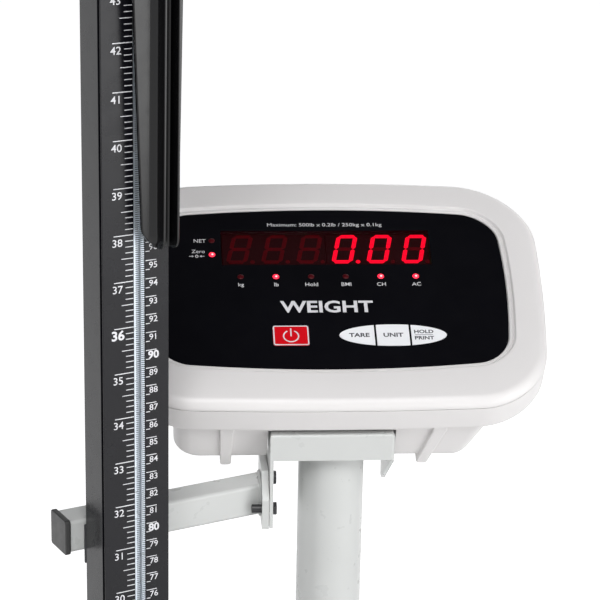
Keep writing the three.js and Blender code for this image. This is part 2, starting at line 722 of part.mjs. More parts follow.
// A key's outline: the power key is a rectangle, and the other three share one lens.
function keyShape({ name, x0, x1, half, ends }, grow) {
  const a = x0 - grow;
  const b = x1 + grow;
  const h = half + grow;
  const shape = new THREE.Shape();
  if (name === "tare") {
    shape.moveTo(b, KEY_Y - h);
    shape.lineTo(b, KEY_Y + h);
    shape.quadraticCurveTo(a + ends, KEY_Y + h, a, KEY_Y);
    shape.quadraticCurveTo(a + ends, KEY_Y - h, b, KEY_Y - h);
    return shape;
  }
  if (name === "hold") {
    shape.moveTo(a, KEY_Y + h);
    shape.lineTo(a, KEY_Y - h);
    shape.quadraticCurveTo(b - ends, KEY_Y - h, b, KEY_Y);
    shape.quadraticCurveTo(b - ends, KEY_Y + h, a, KEY_Y + h);
    return shape;
  }
  return roundedRect(a, b, KEY_Y - h, KEY_Y + h, ends + grow);
}

const BOARD = { x: 78, y0: -56, y1: 54, back: -12, front: -10.4 };

function makeFrontShell() {
  const rings = [headRing(0, PARTING + GAP / 2)];
  for (const degrees of [0, 30, 60, 90]) {
    const angle = THREE.MathUtils.degToRad(degrees);
    rings.push(headRing(EDGE_R * (1 - Math.cos(angle)), FACE - EDGE_R * (1 - Math.sin(angle))));
  }
  const crown = loft(rings);
  const inside = loft([
    headRing(SHELL_WALL, PARTING - 5),
    headRing(SHELL_WALL, PARTING + 1),
    headRing(SHELL_WALL + 5, -0.9 - SHELL_WALL),
  ]);
  const posts = [-1, 1].flatMap((side) =>
    [BOARD.y0 + 5, BOARD.y1 - 4].map((y) => bar("z", 3, BOARD.front + GAP, -3, side * (BOARD.x - 5), y, 12)),
  );
  const shell = cut(
    join(cut(crown, inside), ...posts),
    loft([overlayRing(GAP, -0.9), overlayRing(GAP, 3)]),
    block(WINDOW.x0 - GAP, WINDOW.x1 + GAP, WINDOW.y0 - GAP, WINDOW.y1 + GAP, -20, 5),
    ...KEYS.map((key) => extruded(keyShape(key, GAP), -8, 5)),
  );
  place(headFrame, "front_shell", shell, whitePlastic);

  const overlay = cut(
    loft([overlayRing(0, -0.6), overlayRing(0, 0)]),
    block(WINDOW.x0 - GAP, WINDOW.x1 + GAP, WINDOW.y0 - GAP, WINDOW.y1 + GAP, -5, 5),
    ...KEYS.map((key) => extruded(keyShape(key, GAP), -8, 5)),
  );
  place(headFrame, "front_overlay", overlay, blackPlastic);
}

function makeDisplay() {
  const window = block(WINDOW.x0, WINDOW.x1, WINDOW.y0, WINDOW.y1, -1.6, 0);
  place(headFrame, "display_window", window, redPlastic);
  const board = padded(-BOARD.x, BOARD.x, BOARD.y0, BOARD.y1, 3, BOARD.back, BOARD.front);
  place(headFrame, "display_board", board, circuitGreen);
  const middle = (WINDOW.x0 + WINDOW.x1) / 2;
  const half = (WINDOW.x1 - WINDOW.x0) / 2 - 0.6;
  [
    ["display_digits_left", middle - half, middle - GAP / 2],
    ["display_digits_right", middle + GAP / 2, middle + half],
  ].forEach(([name, x0, x1]) => {
    const module = block(x0, x1, WINDOW.y0 + 0.8, WINDOW.y1 - 0.8, BOARD.front + GAP, -2.2);
    place(headFrame, name, module, blackPlastic);
  });
  for (const key of KEYS) {
    const { name, x0, x1, half: halfY } = key;
    const body = join(
      extruded(keyShape(key, 0), -6.5, 0.25),
      block(x0 + 2, x1 - 2, KEY_Y - halfY * 0.55, KEY_Y + halfY * 0.55, -9.4, -6),
    );
    place(headFrame, "key_" + name, body, name === "power" ? keyRed : keyGrey);
  }
}

// ---- the rear shell: a rim that meets the front shell, and a tub between the rim and the bracket ----
const TUB = { x0: -92, x1: 92, y0: -85, y1: 60, round: 7, slant: 13 };

function tubRing(depth, inset) {
  const down = Math.max(0, TUB.round - (depth - TUB_DEPTH));
  const leftIn = TUB.round - Math.sqrt(TUB.round ** 2 - Math.min(down, TUB.round) ** 2);
  const rightIn = (TUB.slant * Math.max(0, RIM_DEPTH - depth)) / (RIM_DEPTH - TUB_DEPTH);
  const outline = {
    x: [TUB.x0 + leftIn, TUB.x1 - rightIn],
    y: [TUB.y0 + leftIn * 0.15, TUB.y1 - leftIn],
    corners: [10, 10],
    bows: [0, 0],
    sideBow: 0,
    lean: 0,
  };
  return bowedRing(outline, -inset, depth);
}

// The two feet under the tub's front wall: a block at the rim, then a narrower tongue that may slant.
const CLIPS = [
  { top: -62, foot: -62 },
  { top: 60, foot: 52 },
];

function clip({ top, foot }) {
  const front = TUB.y0 - 2.2;
  const ring = (x, half, height) => [
    [x - half, front, height],
    [x + half, front, height],
    [x + half, front + 9, height],
    [x - half, front + 9, height],
  ];
  const shoulder = RIM_DEPTH - 5;
  const tongue = loft([ring(foot, 3.2, TUB_DEPTH - 4.4), ring(top, 3.9, shoulder + 1)]);
  return join(tongue, loft([ring(top, 4.2, shoulder), ring(top, 4.2, RIM_DEPTH + 1)]));
}

const DOOR = { x0: 40, x1: 72, y0: -52, y1: 6 };
const INLET = { x: -66, y: -40, r: 5.5 };
const MAIN_BOARD = { x: 62, y0: 10, y1: 54, back: -37, front: -35.4 };
const CONNECTOR = { x: 9, y0: -55, y1: -45, back: -19.5 };

function makeRearShell() {
  const seat = (gap, lift) =>
    fromColumnToHead(block(BRACKET_LEFT - gap, BRACKET_RIGHT + gap, -60, 60, 700, BRACKET_TOP + lift));
  const rim = loft([headRing(0.4, RIM_DEPTH), headRing(0, RIM_DEPTH + 2), headRing(0, PARTING - GAP / 2)]);
  const depths = [0, 1, 3, TUB.round].map((above) => TUB_DEPTH + above).concat(-38, RIM_DEPTH + 1);
  const tub = loft(depths.map((depth) => tubRing(depth, 0)));
  const rimHollow = loft([headRing(SHELL_WALL, RIM_DEPTH + SHELL_WALL), headRing(SHELL_WALL, 0)]);
  const tubHollow = loft(
    [TUB_DEPTH + SHELL_WALL, -46, -38, RIM_DEPTH + 4].map((depth) => tubRing(depth, SHELL_WALL)),
  );
  const posts = [-1, 1].flatMap((side) =>
    [MAIN_BOARD.y0 + 5, MAIN_BOARD.y1 - 5].map((y) =>
      bar("z", 3, TUB_DEPTH + 1, MAIN_BOARD.back - GAP, side * (MAIN_BOARD.x - 6), y, 12),
    ),
  );
  const outside = cut(join(rim, tub, ...CLIPS.map(clip)), seat(1.2, GAP));
  const hollow = cut(join(rimHollow, tubHollow), seat(4, SHELL_WALL));
  const holes = [
    fromColumnToHead(bar("z", 5, 700, HEAD_ABOVE, 0, 0, 16)),
    ...[-1, 1].map((side) =>
      fromColumnToHead(bar("z", 2.3, 700, BRACKET_TOP + 8, side * HEAD_SCREW.x, HEAD_SCREW.y, 12)),
    ),
    block(DOOR.x0 - GAP, DOOR.x1 + GAP, DOOR.y0 - GAP, DOOR.y1 + GAP, TUB_DEPTH - 1, TUB_DEPTH + 5),
    bar("z", INLET.r + GAP, TUB_DEPTH - 1, TUB_DEPTH + 5, INLET.x, INLET.y, 20),
  ];
  place(headFrame, "rear_shell", cut(join(cut(outside, hollow), ...posts), ...holes), whitePlastic);
}

function makeElectronics() {
  const { x, y0, y1, back, front } = MAIN_BOARD;
  place(headFrame, "main_board", padded(-x, x, y0, y1, 3, back, front), circuitGreen);
  const socket = CONNECTOR;
  const connector = block(-socket.x, socket.x, socket.y0, socket.y1, socket.back, BOARD.back - GAP);
  place(headFrame, "cable_connector", connector, whitePlastic);
  const door = block(DOOR.x0, DOOR.x1, DOOR.y0, DOOR.y1, TUB_DEPTH, TUB_DEPTH + SHELL_WALL);
  place(headFrame, "battery_door", door, whitePlastic);
  const battery = padded(42, 70, DOOR.y0 + 3, DOOR.y1 - 26, 3, TUB_DEPTH + SHELL_WALL + GAP, -29);
  place(headFrame, "battery", battery, batteryBlue);
  const inlet = join(
    bar("z", INLET.r, TUB_DEPTH - 1.5, TUB_DEPTH + 12, INLET.x, INLET.y, 20),
    bar("z", INLET.r + 1.8, TUB_DEPTH - 1.5, TUB_DEPTH - GAP, INLET.x, INLET.y, 20),
  );
  const bore = bar("z", 2.9, TUB_DEPTH - 5, TUB_DEPTH + 8, INLET.x, INLET.y, 16);
  const contact = bar("z", 1, TUB_DEPTH - 1, TUB_DEPTH + 9, INLET.x, INLET.y, 8);
  place(headFrame, "dc_inlet", join(cut(inlet, bore), contact), blackPlastic);
}

makeBase();
makeFeetAndCells();
makeWiring();
makeColumn();
makeWheels();
makeBracket();
makeArm("upper", UPPER_ARM);
makeArm("lower", LOWER_ARM);
makeEndPlate("upper", UPPER_ARM);
makeEndPlate("lower", LOWER_ARM);
makeFlushScrew();
makeLowerSaddle();
makeRod();
makeSlider();
makeHeadpiece();
makeFrontShell();
makeDisplay();
makeRearShell();
makeElectronics();

export default root;
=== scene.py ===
import json
import math

import bmesh
import bpy
from mathutils import Matrix, Vector


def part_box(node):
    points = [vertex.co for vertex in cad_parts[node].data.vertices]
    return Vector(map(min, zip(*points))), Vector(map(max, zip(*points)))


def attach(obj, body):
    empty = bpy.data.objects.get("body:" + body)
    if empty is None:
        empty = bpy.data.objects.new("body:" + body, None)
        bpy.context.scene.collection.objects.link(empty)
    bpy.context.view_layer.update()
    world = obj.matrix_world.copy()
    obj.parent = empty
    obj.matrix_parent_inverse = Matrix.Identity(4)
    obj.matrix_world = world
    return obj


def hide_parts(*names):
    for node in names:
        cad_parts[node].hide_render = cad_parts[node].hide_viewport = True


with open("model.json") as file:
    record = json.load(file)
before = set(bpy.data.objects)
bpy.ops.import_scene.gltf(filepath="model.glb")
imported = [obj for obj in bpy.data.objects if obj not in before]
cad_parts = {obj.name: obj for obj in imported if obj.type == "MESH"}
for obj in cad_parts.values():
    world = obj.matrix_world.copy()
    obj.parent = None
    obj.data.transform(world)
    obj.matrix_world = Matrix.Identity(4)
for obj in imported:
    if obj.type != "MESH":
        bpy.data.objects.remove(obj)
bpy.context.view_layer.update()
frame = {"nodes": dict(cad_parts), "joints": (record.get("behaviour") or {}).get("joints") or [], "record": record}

MM = 0.001
STAND = "stand"

# ---- local frames in millimetres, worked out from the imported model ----
JOINTS = {joint["name"]: joint for joint in frame["joints"]}
PLATFORM_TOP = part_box("platform_mat")[1].z
PIVOT = Vector((11, -12, 0))  # of the headpiece, in the rod's frame


def box_middle(node):
    low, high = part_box(node)
    return (low + high) / 2


def above_platform(z):
    """A height in metres, in millimetres above the platform's top."""
    return (z - PLATFORM_TOP) / MM


def local_frame(origin, angle=0.0, axis="Z"):
    """A matrix from millimetres in a local frame to metres in the row frame."""
    return Matrix.Translation(origin) @ Matrix.Rotation(angle, 4, axis) @ Matrix.Scale(MM, 4)


def column_frame():
    middle = box_middle("column_tube")
    return local_frame((middle.x, middle.y, PLATFORM_TOP))


def rod_frame():
    """x along the rod's face, y into the rod, z up from the platform; its origin is the slot's left edge."""
    axis = JOINTS["headpiece_fold"]["axis"]
    turn = math.atan2(-axis[1], -axis[0])
    pivot = Vector(JOINTS["headpiece_fold"]["pos_m"])
    origin = pivot - Matrix.Rotation(turn, 3, "Z") @ (PIVOT * MM)
    return local_frame((origin.x, origin.y, PLATFORM_TOP), turn)


def head_frame():
    """x to the right, y up the panel's slope, z out of the panel; its origin is the middle of the panel."""
    press = Vector(JOINTS["press_power"]["axis"])
    slope = math.atan2(press.y, -press.z)
    half_film = 0.3 * MM
    return local_frame(box_middle("front_overlay") - press * half_film, slope, "X")


COLUMN = column_frame()
ROD = rod_frame()
HEAD = head_frame()
WORLD = Matrix.Scale(MM, 4)
PIVOT_Z = above_platform(JOINTS["headpiece_fold"]["pos_m"][2])


# ---- materials ----
class Nodes:
    """A small builder for one material's node tree, in object space, with sizes in metres."""

    def __init__(self, name):
        self.material = bpy.data.materials.new(name)
        self.material.use_nodes = True
        self.tree = self.material.node_tree
        self.shader = self.tree.nodes["Principled BSDF"]
        self.place = self.add("ShaderNodeTexCoord").outputs["Object"]

    def add(self, kind, **values):
        node = self.tree.nodes.new(kind)
        for key, value in values.items():
            setattr(node, key, value)
        return node

    def link(self, source, target):
        self.tree.links.new(source, target)

    def set(self, **values):
        for key, value in values.items():
            self.shader.inputs[key.replace("_", " ")].default_value = value

    def noise(self, size, detail=2.0, stretch=(1, 1, 1)):
        mapping = self.add("ShaderNodeMapping")
        mapping.inputs["Scale"].default_value = stretch
        self.link(self.place, mapping.inputs["Vector"])
        node = self.add("ShaderNodeTexNoise")
        node.inputs["Scale"].default_value = 1 / size
        node.inputs["Detail"].default_value = detail
        self.link(mapping.outputs["Vector"], node.inputs["Vector"])
        return node.outputs["Fac"]

    def ramp(self, source, low, high):
        """A colour between low and high, by a noise's value."""
        node = self.add("ShaderNodeValToRGB")
        for stop, place, color in zip(node.color_ramp.elements, (0.35, 0.65), (low, high)):
            stop.position = place
            stop.color = (*color, 1)
        self.link(source, node.inputs["Fac"])
        return node.outputs["Color"]

    def scaled(self, source, source_low, source_high, low, high):
        node = self.add("ShaderNodeMapRange")
        ends = {"From Min": source_low, "From Max": source_high, "To Min": low, "To Max": high}
        for key, value in ends.items():
            node.inputs[key].default_value = value
        self.link(source, node.inputs["Value"])
        return node.outputs["Result"]

    def spread(self, source, low, high):
        """A number between low and high, by a noise's value."""
        return self.scaled(source, 0.3, 0.7, low, high)

    def glow(self, near, far, low, high):
        """A value that rises from low to high with the distance from the object's origin."""
        length = self.add("ShaderNodeVectorMath", operation="LENGTH")
        self.link(self.place, length.inputs[0])
        return self.scaled(length.outputs["Value"], near, far, low, high)

    def bump(self, source, height):
        node = self.add("ShaderNodeBump")
        node.inputs["Strength"].default_value = 1.0
        node.inputs["Distance"].default_value = height
        self.link(source, node.inputs["Height"])
        return node.outputs["Normal"]

    def finish(self, color, roughness, normal=None):
        self.link(color, self.shader.inputs["Base Color"])
        self.link(roughness, self.shader.inputs["Roughness"])
        if normal is not None:
            self.link(normal, self.shader.inputs["Normal"])
        return self.material


def shade(color, factor):
    return tuple(min(1.0, channel * factor) for channel in color)


def surface(name, color, rough, grain, height, vary, cloud, stretch=(1, 1, 1), **sockets):
    """A painted, moulded or rubber surface: broad colour drift, uneven gloss and a fine grain.

    grain and cloud are the sizes of the fine grain and of the broad drift, height is the grain's
    height, vary is how far the colour drifts, and sockets are the shader's other settings.
    """
    nodes = Nodes(name)
    nodes.set(**sockets)
    broad = nodes.noise(cloud, 3)
    tone = nodes.ramp(broad, shade(color, 1 - vary), shade(color, 1 + vary))
    gloss = nodes.spread(nodes.noise(cloud / 6, 4), rough * 0.88, rough * 1.12)
    fine = nodes.noise(grain, 3, stretch)
    return nodes.finish(tone, gloss, nodes.bump(fine, height))


def brushed(name, color, rough, stretch):
    """Bare metal with a fine grain drawn along one direction."""
    return surface(name, color, rough, 0.0004, 0.000008, 0.06, 0.02, stretch, Metallic=1.0)


def glowing(name, color, strength):
    """A lit LED, a little uneven, in a red body."""
    body = (0.25, 0.0, 0.01)
    nodes = Nodes(name)
    nodes.set(Emission_Strength=strength, IOR=1.45)
    drift = nodes.noise(0.002, 2)
    nodes.link(nodes.ramp(drift, shade(color, 0.94), color), nodes.shader.inputs["Emission Color"])
    return nodes.finish(nodes.ramp(drift, body, shade(body, 1.2)), nodes.spread(drift, 0.25, 0.35))


LOOKS = {
    "white_plastic": surface("white_abs", (0.66, 0.645, 0.64), 0.42, 0.0007, 0.000006, 0.012, 0.08),
    "grey_paint": surface("grey_powder_coat", (0.49, 0.50, 0.49), 0.30, 0.0009, 0.000014, 0.02, 0.05),
    "black_paint": surface("black_powder_coat", (0.030, 0.030, 0.034), 0.45, 0.0008, 0.00002, 0.12, 0.05),
    "rod_black": surface(
        "black_anodised", (0.004, 0.004, 0.006), 0.26, 0.0005, 0.000004, 0.1, 0.06, (1, 1, 0.08),
        Specular_IOR_Level=0.28,
    ),
    "headpiece_black": surface(
        "semi_gloss_black", (0.0015, 0.0015, 0.002), 0.2, 0.0008, 0.000004, 0.1, 0.04, Specular_IOR_Level=0.4
    ),
    "black_plastic": surface("moulded_black", (0.028, 0.028, 0.028), 0.42, 0.0006, 0.00002, 0.10, 0.03),
    "overlay_black": surface(
        "panel_film", (0.0018, 0.0018, 0.003), 0.34, 0.0005, 0.000004, 0.15, 0.06, Specular_IOR_Level=0.09
    ),
    "mat_rubber": surface("ribbed_rubber", (0.035, 0.035, 0.037), 0.75, 0.0007, 0.00004, 0.15, 0.05),
    "foot_rubber": surface("foot_rubber", (0.022, 0.022, 0.024), 0.80, 0.0008, 0.00004, 0.15, 0.02),
    "wheel_rubber": surface("wheel_rubber", (0.040, 0.040, 0.043), 0.60, 0.0009, 0.00003, 0.12, 0.02),
    "circuit_board": surface("solder_mask", (0.015, 0.11, 0.045), 0.35, 0.0012, 0.00002, 0.25, 0.012),
    "battery_wrap": surface("battery_wrap", (0.03, 0.08, 0.17), 0.35, 0.002, 0.00003, 0.12, 0.02),
    "cable_jacket": surface("cable_jacket", (0.075, 0.075, 0.08), 0.55, 0.0008, 0.00001, 0.08, 0.02),
    "key_grey": surface("grey_key_film", (0.80, 0.81, 0.83), 0.42, 0.0005, 0.000005, 0.015, 0.01),
    "key_red": surface(
        "red_key_film", (0.57, 0.002, 0.008), 0.36, 0.0005, 0.000004, 0.03, 0.01, Specular_IOR_Level=0.15
    ),
    "led_module": surface("led_module", (0.020, 0.0005, 0.0015), 0.45, 0.0006, 0.000006, 0.20, 0.01),
    "display_red": surface(
        "red_filter", (0.018, 0.0002, 0.001), 0.2, 0.0006, 0.000002, 0.1, 0.03,
        Alpha=0.3, Specular_IOR_Level=0.03,
    ),
    "zinc_steel": brushed("zinc_plate", (0.50, 0.52, 0.54), 0.38, (1, 1, 1)),
    "bright_steel": surface(
        "bright_steel", (0.62, 0.68, 0.74), 0.3, 0.0004, 0.000008, 0.04, 0.02, (4, 4, 0.2), Metallic=0.35
    ),
    "dark_steel": surface("black_oxide", (0.02, 0.02, 0.022), 0.4, 0.0006, 0.000006, 0.15, 0.01),
    "load_cell_aluminium": brushed("milled_aluminium", (0.60, 0.61, 0.62), 0.35, (1, 6, 1)),
    "ink": surface("white_ink", (0.62, 0.62, 0.64), 0.50, 0.0005, 0.000004, 0.04, 0.01),
    "dark_ink": surface("dark_ink", (0.045, 0.045, 0.055), 0.50, 0.0005, 0.000004, 0.10, 0.01),
    "led_lit": glowing("led_lit", (1.0, 0.002, 0.02), 2.6),
    "led_dot": glowing("led_dot", (1.0, 0.02, 0.05), 2.2),
    "led_core": glowing("led_core", (1.0, 0.55, 0.55), 1.6),
    "led_off": surface("led_off", (0.19, 0.002, 0.007), 0.35, 0.0006, 0.000006, 0.15, 0.01),
    "led_dim": surface(
        "led_dim", (0.05, 0.001, 0.003), 0.35, 0.0006, 0.000006, 0.15, 0.01, Specular_IOR_Level=0.15
    ),
}


# ---- meshes ----
def skin(rings, loop=False):
    """A closed surface over rings of points with equal counts; loop joins the last ring to the first."""
    bm = bmesh.new()
    rows = [[bm.verts.new(point) for point in ring] for ring in rings]
    pairs = list(zip(rows, rows[1:] + rows[:1])) if loop else list(zip(rows, rows[1:]))
    count = len(rows[0])
    for low, high in pairs:
        for i in range(count):
            bm.faces.new((low[i - 1], low[i], high[i], high[i - 1]))
    if not loop:
        bm.faces.new(list(reversed(rows[0])))
        bm.faces.new(rows[-1])
    return bm


def block(x0, x1, y0, y1, z0, z1, soft=0.0, steps=2):
    """A box with edges rounded to the radius soft."""
    bm = bmesh.new()
    bmesh.ops.create_cube(bm, size=1)
    size = Matrix.Diagonal((x1 - x0, y1 - y0, z1 - z0, 1))
    bm.transform(Matrix.Translation(((x0 + x1) / 2, (y0 + y1) / 2, (z0 + z1) / 2)) @ size)
    if soft:
        round_edges(bm, soft, steps)
    return bm


def round_edges(bm, width, steps=2, angle=40, only=None):
    bm.normal_update()
    sharp = [e for e in bm.edges if len(e.link_faces) == 2 and e.calc_face_angle(0) > math.radians(angle)]
    if only is not None:
        sharp = [e for e in sharp if only(e)]
    bmesh.ops.bevel(
        bm, geom=sharp, offset=width, segments=steps, profile=0.5, affect="EDGES", clamp_overlap=True
    )


def turned(profile, sides=64, axis="Z"):
    """A solid of revolution; profile is (radius, height) from the axis to the axis, or a closed loop."""
    bm = bmesh.new()
    verts = [bm.verts.new((r, 0, z)) for r, z in profile]
    edges = [bm.edges.new(pair) for pair in zip(verts, verts[1:])]
    if profile[0][0] > 0:
        edges.append(bm.edges.new((verts[-1], verts[0])))
    bmesh.ops.spin(
        bm, geom=verts + edges, axis=(0, 0, 1), cent=(0, 0, 0), angle=2 * math.pi, steps=sides,
        use_duplicate=False,
    )
    bmesh.ops.remove_doubles(bm, verts=bm.verts, dist=1e-4)
    if axis == "X":
        bm.transform(Matrix.Rotation(math.pi / 2, 4, "Y"))
    return bm


def prism(outline, low, high, plane="XY"):
    """An extruded outline. In the planes XZ and YZ the outline's second axis is Z."""
    place = {
        "XY": lambda u, v, w: (u, v, w),
        "XZ": lambda u, v, w: (u, w, v),
        "YZ": lambda u, v, w: (w, u, v),
    }[plane]
    return skin([[place(u, v, w) for u, v in outline] for w in (low, high)])


def merged(*meshes):
    bm = meshes[0]
    for other in meshes[1:]:
        data = bpy.data.meshes.new("part")
        other.to_mesh(data)
        other.free()
        bm.from_mesh(data)
        bpy.data.meshes.remove(data)
    return bm


def moved(bm, x=0, y=0, z=0):
    bm.transform(Matrix.Translation((x, y, z)))
    return bm


def object_of(name, bm):
    """A new object in the scene that takes its mesh from bm, which is used up."""
    data = bpy.data.meshes.new(name)
    bm.to_mesh(data)
    bm.free()
    obj = bpy.data.objects.new(name, data)
    bpy.context.scene.collection.objects.link(obj)
    return obj


def carve(bm, *tools, operation="DIFFERENCE"):
    """bm cut by, or joined with, the tools."""
    for tool in tools:
        for shape in (bm, tool):
            bmesh.ops.recalc_face_normals(shape, faces=shape.faces)
        objects = [object_of("carve", shape) for shape in (bm, tool)]
        base, cutter = objects
        modifier = base.modifiers.new("cut", "BOOLEAN")
        modifier.operation = operation
        modifier.object = cutter
        modifier.solver = "EXACT"
        evaluated = base.evaluated_get(bpy.context.evaluated_depsgraph_get())
        bm = bmesh.new()
        bm.from_mesh(evaluated.to_mesh())
        evaluated.to_mesh_clear()
        for obj in objects:
            data = obj.data
            bpy.data.objects.remove(obj)
            bpy.data.meshes.remove(data)
    return bm


def piece(name, bm, place, body, slot=None, replaces=(), look=None, angle=35):
    """A finished piece from bm in the frame place, smooth where its faces meet under angle degrees."""
    bm.transform(place)
    bmesh.ops.remove_doubles(bm, verts=bm.verts, dist=2e-7)
    bmesh.ops.recalc_face_normals(bm, faces=bm.faces)
    obj = object_of(name, bm)
    obj.data.shade_smooth()
    obj.data.set_sharp_from_angle(angle=math.radians(angle))
    obj.data.materials.append(LOOKS[look or slot])
    obj.modifiers.new("flat_faces", "WEIGHTED_NORMAL").keep_sharp = True
    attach(obj, body)
    if replaces:
        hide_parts(*replaces)
    return obj


def softened(node, name, width, steps=2, body=STAND, look=None):
    """A CAD node with its sharp edges rounded."""
    bm = bmesh.new()
    bm.from_mesh(frame["nodes"][node].data)
    bmesh.ops.remove_doubles(bm, verts=bm.verts, dist=1e-6)
    bmesh.ops.dissolve_limit(bm, angle_limit=math.radians(1), verts=bm.verts, edges=bm.edges)
    round_edges(bm, width * MM, steps)
    slot = next(s["material_slot"] for s in frame["record"]["subparts"] if s["node"] == node)
    return piece(name, bm, Matrix.Identity(4), body, slot, [node], look)


# ---- outlines ----
def arc(cx, cy, r, start, end, steps):
    turns = [math.radians(start + (end - start) * i / steps) for i in range(steps + 1)]
    return [(cx + r * math.cos(turn), cy + r * math.sin(turn)) for turn in turns]


def rounded_rect(x0, x1, y0, y1, r, steps=8):
    middles = ((x1 - r, y0 + r), (x1 - r, y1 - r), (x0 + r, y1 - r), (x0 + r, y0 + r))
    return sum((arc(*middle, r, 90 * i - 90, 90 * i, steps) for i, middle in enumerate(middles)), [])


def rounded_outline(points, r, steps=4):
    """A polygon with its corners rounded; r is one radius or one for each corner."""
    radii = [r] * len(points) if isinstance(r, (int, float)) else r
    outline = []
    for i, (corner, radius) in enumerate(zip(points, radii)):
        here = Vector(corner)
        to_last = (Vector(points[i - 1]) - here).normalized()
        to_next = (Vector(points[(i + 1) % len(points)]) - here).normalized()
        if radius <= 0:
            outline.append(tuple(here))
            continue
        half = to_last.angle(to_next) / 2
        reach = radius / math.tan(half)
        middle = here + (to_last + to_next).normalized() * (radius / math.sin(half))
        first = here + to_last * reach - middle
        last = here + to_next * reach - middle
        for k in range(steps + 1):
            outline.append(tuple(middle + first.slerp(last, k / steps) * radius))
    return outline


CORNER_STEPS = 12
SIDE_STEPS = 14
SMALLEST_CORNER = 6


def bowed_ring(outline, grow, height):
    """A rounded rectangle whose sides bow outwards and lean outwards towards the top, grown all round.

    The outline is the ends in x and in y, the radii of the two lower and two upper corners, how far
    the lower and upper sides bow, how far the left and right sides bow, and the lean.
    """
    (x0, x1), (y0, y1), radii, bows, side_bow, lean = outline
    low, high = (max(radius + grow, SMALLEST_CORNER) for radius in radii)
    cx, cy = (x0 + x1) / 2, (y0 + bows[0] + y1 - bows[1]) / 2
    half_x = (x1 - x0) / 2 - side_bow + grow
    half_y = (y1 - bows[1] - y0 - bows[0]) / 2 + grow
    corners = ((1, -1, low), (1, 1, high), (-1, 1, high), (-1, -1, low))
    bends = [
        arc(side * (half_x - r), up * (half_y - r), r, 90 * i - 90, 90 * i, CORNER_STEPS)
        for i, (side, up, r) in enumerate(corners)
    ]
    ring = []
    for bend, (ahead, *_) in zip(bends, bends[1:] + bends[:1]):
        ring += bend
        (u, v), (du, dv) = bend[-1], (ahead[0] - bend[-1][0], ahead[1] - bend[-1][1])
        ring += [(u + du * i / SIDE_STEPS, v + dv * i / SIDE_STEPS) for i in range(1, SIDE_STEPS)]
    return [
        (
            cx + (x + side_bow * (x / half_x) * (1 - (y / half_y) ** 2)) * (1 + lean * y / half_y),
            cy + y + bows[y > 0] * (y / half_y) * (1 - (x / half_x) ** 2),
            height,
        )
        for x, y in ring
    ]


# ---- the display head, in its own frame: heights are out of the panel ----
HEAD_OUTLINE = ((-127.5, 127.5), (-90, 89), (38, 44), (3, 6), 5, 0.03)
PANEL_OUTLINE = ((-105, 105), (-63, 63.5), (17, 20), (6, 6), 4, 0.015)
EDGE_R = 6.2
FACE = 1.0
CROWN = 0.9
PARTING = -5.4
SEAM = 0.15
RIM = -22.5
TUB = -51.3
TUB_ROUND = 7.0
TUB_SLANT = 13.0
TUB_SIDE, TUB_FRONT, TUB_BACK = 92, -85, 60
WALL = 2.5
WINDOW = (-62.3, 62.6, 18.4, 46.2)
DOOR = (40, 72, -52, 6)
INLET = (-66, -40)
INLET_R = 5.5
KEY_Y = -37.4
GAP = 0.3
BRACKET_LEFT, BRACKET_RIGHT = -37.2, 34.0


def head_ring(inset, height):
    return bowed_ring(HEAD_OUTLINE, -inset, height)


def panel_ring(grow, height):
    return bowed_ring(PANEL_OUTLINE, grow, height)


def mixed(ring_a, ring_b, share, height):
    """A ring that lies part of the way from one ring to another."""
    return [
        (a[0] + (b[0] - a[0]) * share, a[1] + (b[1] - a[1]) * share, height)
        for a, b in zip(ring_a, ring_b)
    ]


def make_front_shell():
    """Up the outer edge, in over the crowned face, down round the panel's lip, and back inside."""
    rings = [head_ring(0.4, PARTING + SEAM), head_ring(0.08, PARTING + SEAM + 0.25)]
    edge_steps = 10
    for step in range(1, edge_steps + 1):
        turn = math.radians(90 / edge_steps * step)
        rings.append(head_ring(EDGE_R * (1 - math.cos(turn)), FACE - EDGE_R * (1 - math.sin(turn))))
    outer, inner = head_ring(EDGE_R, 0), panel_ring(4.3, 0)
    for share in (0.25, 0.5, 0.8):
        rings.append(mixed(outer, inner, share, FACE + CROWN * math.sin(share * math.pi / 2)))
    outer_bead = [(4.3, 1.9), (3.9, 1.85), (3.6, 1.6), (3.45, 1.0), (3.3, 0.2)]
    groove = [(2.9, -0.15), (2.5, 0.0), (2.3, 0.35)]
    inner_bead = [(2.0, 0.5), (0.9, 0.5), (0.55, 0.4), (0.4, 0.1), (0.35, -0.9)]
    ledge = [(-5, -0.9), (-5, -3.4)]
    rings += [panel_ring(grow, height) for grow, height in outer_bead + groove + inner_bead + ledge]
    inside = [(12, -3.4), (7.5, -3.45), (WALL, -4.4), (WALL, PARTING + SEAM)]
    rings += [head_ring(inset, height) for inset, height in inside]
    shell = skin(rings, loop=True)
    piece("head_front_shell", shell, HEAD, STAND, "white_plastic", ["front_shell"], angle=50)


def tub_ring(depth, inset=0.0):
    """One level of the tub, whose left end is rounded to the back and whose right end slants in."""
    down = min(TUB_ROUND, max(0.0, TUB_ROUND - (depth - TUB)))
    left_in = TUB_ROUND - math.sqrt(TUB_ROUND**2 - down**2)
    right_in = max(0.0, TUB_SLANT * (RIM - depth) / (RIM - TUB))
    across = (left_in - TUB_SIDE, TUB_SIDE - right_in)
    along = (TUB_FRONT + left_in * 0.15, TUB_BACK - left_in)
    return bowed_ring((across, along, (10, 10), (0, 0), 0, 0), -inset, depth)


def in_head(beside, top):
    """A box round the bracket, up to a height over the platform, moved into the head's frame."""
    foot, reach = 700, 60
    bm = block(BRACKET_LEFT - beside, BRACKET_RIGHT + beside, -reach, reach, foot, top)
    bm.transform(HEAD.inverted() @ COLUMN)
    return bm


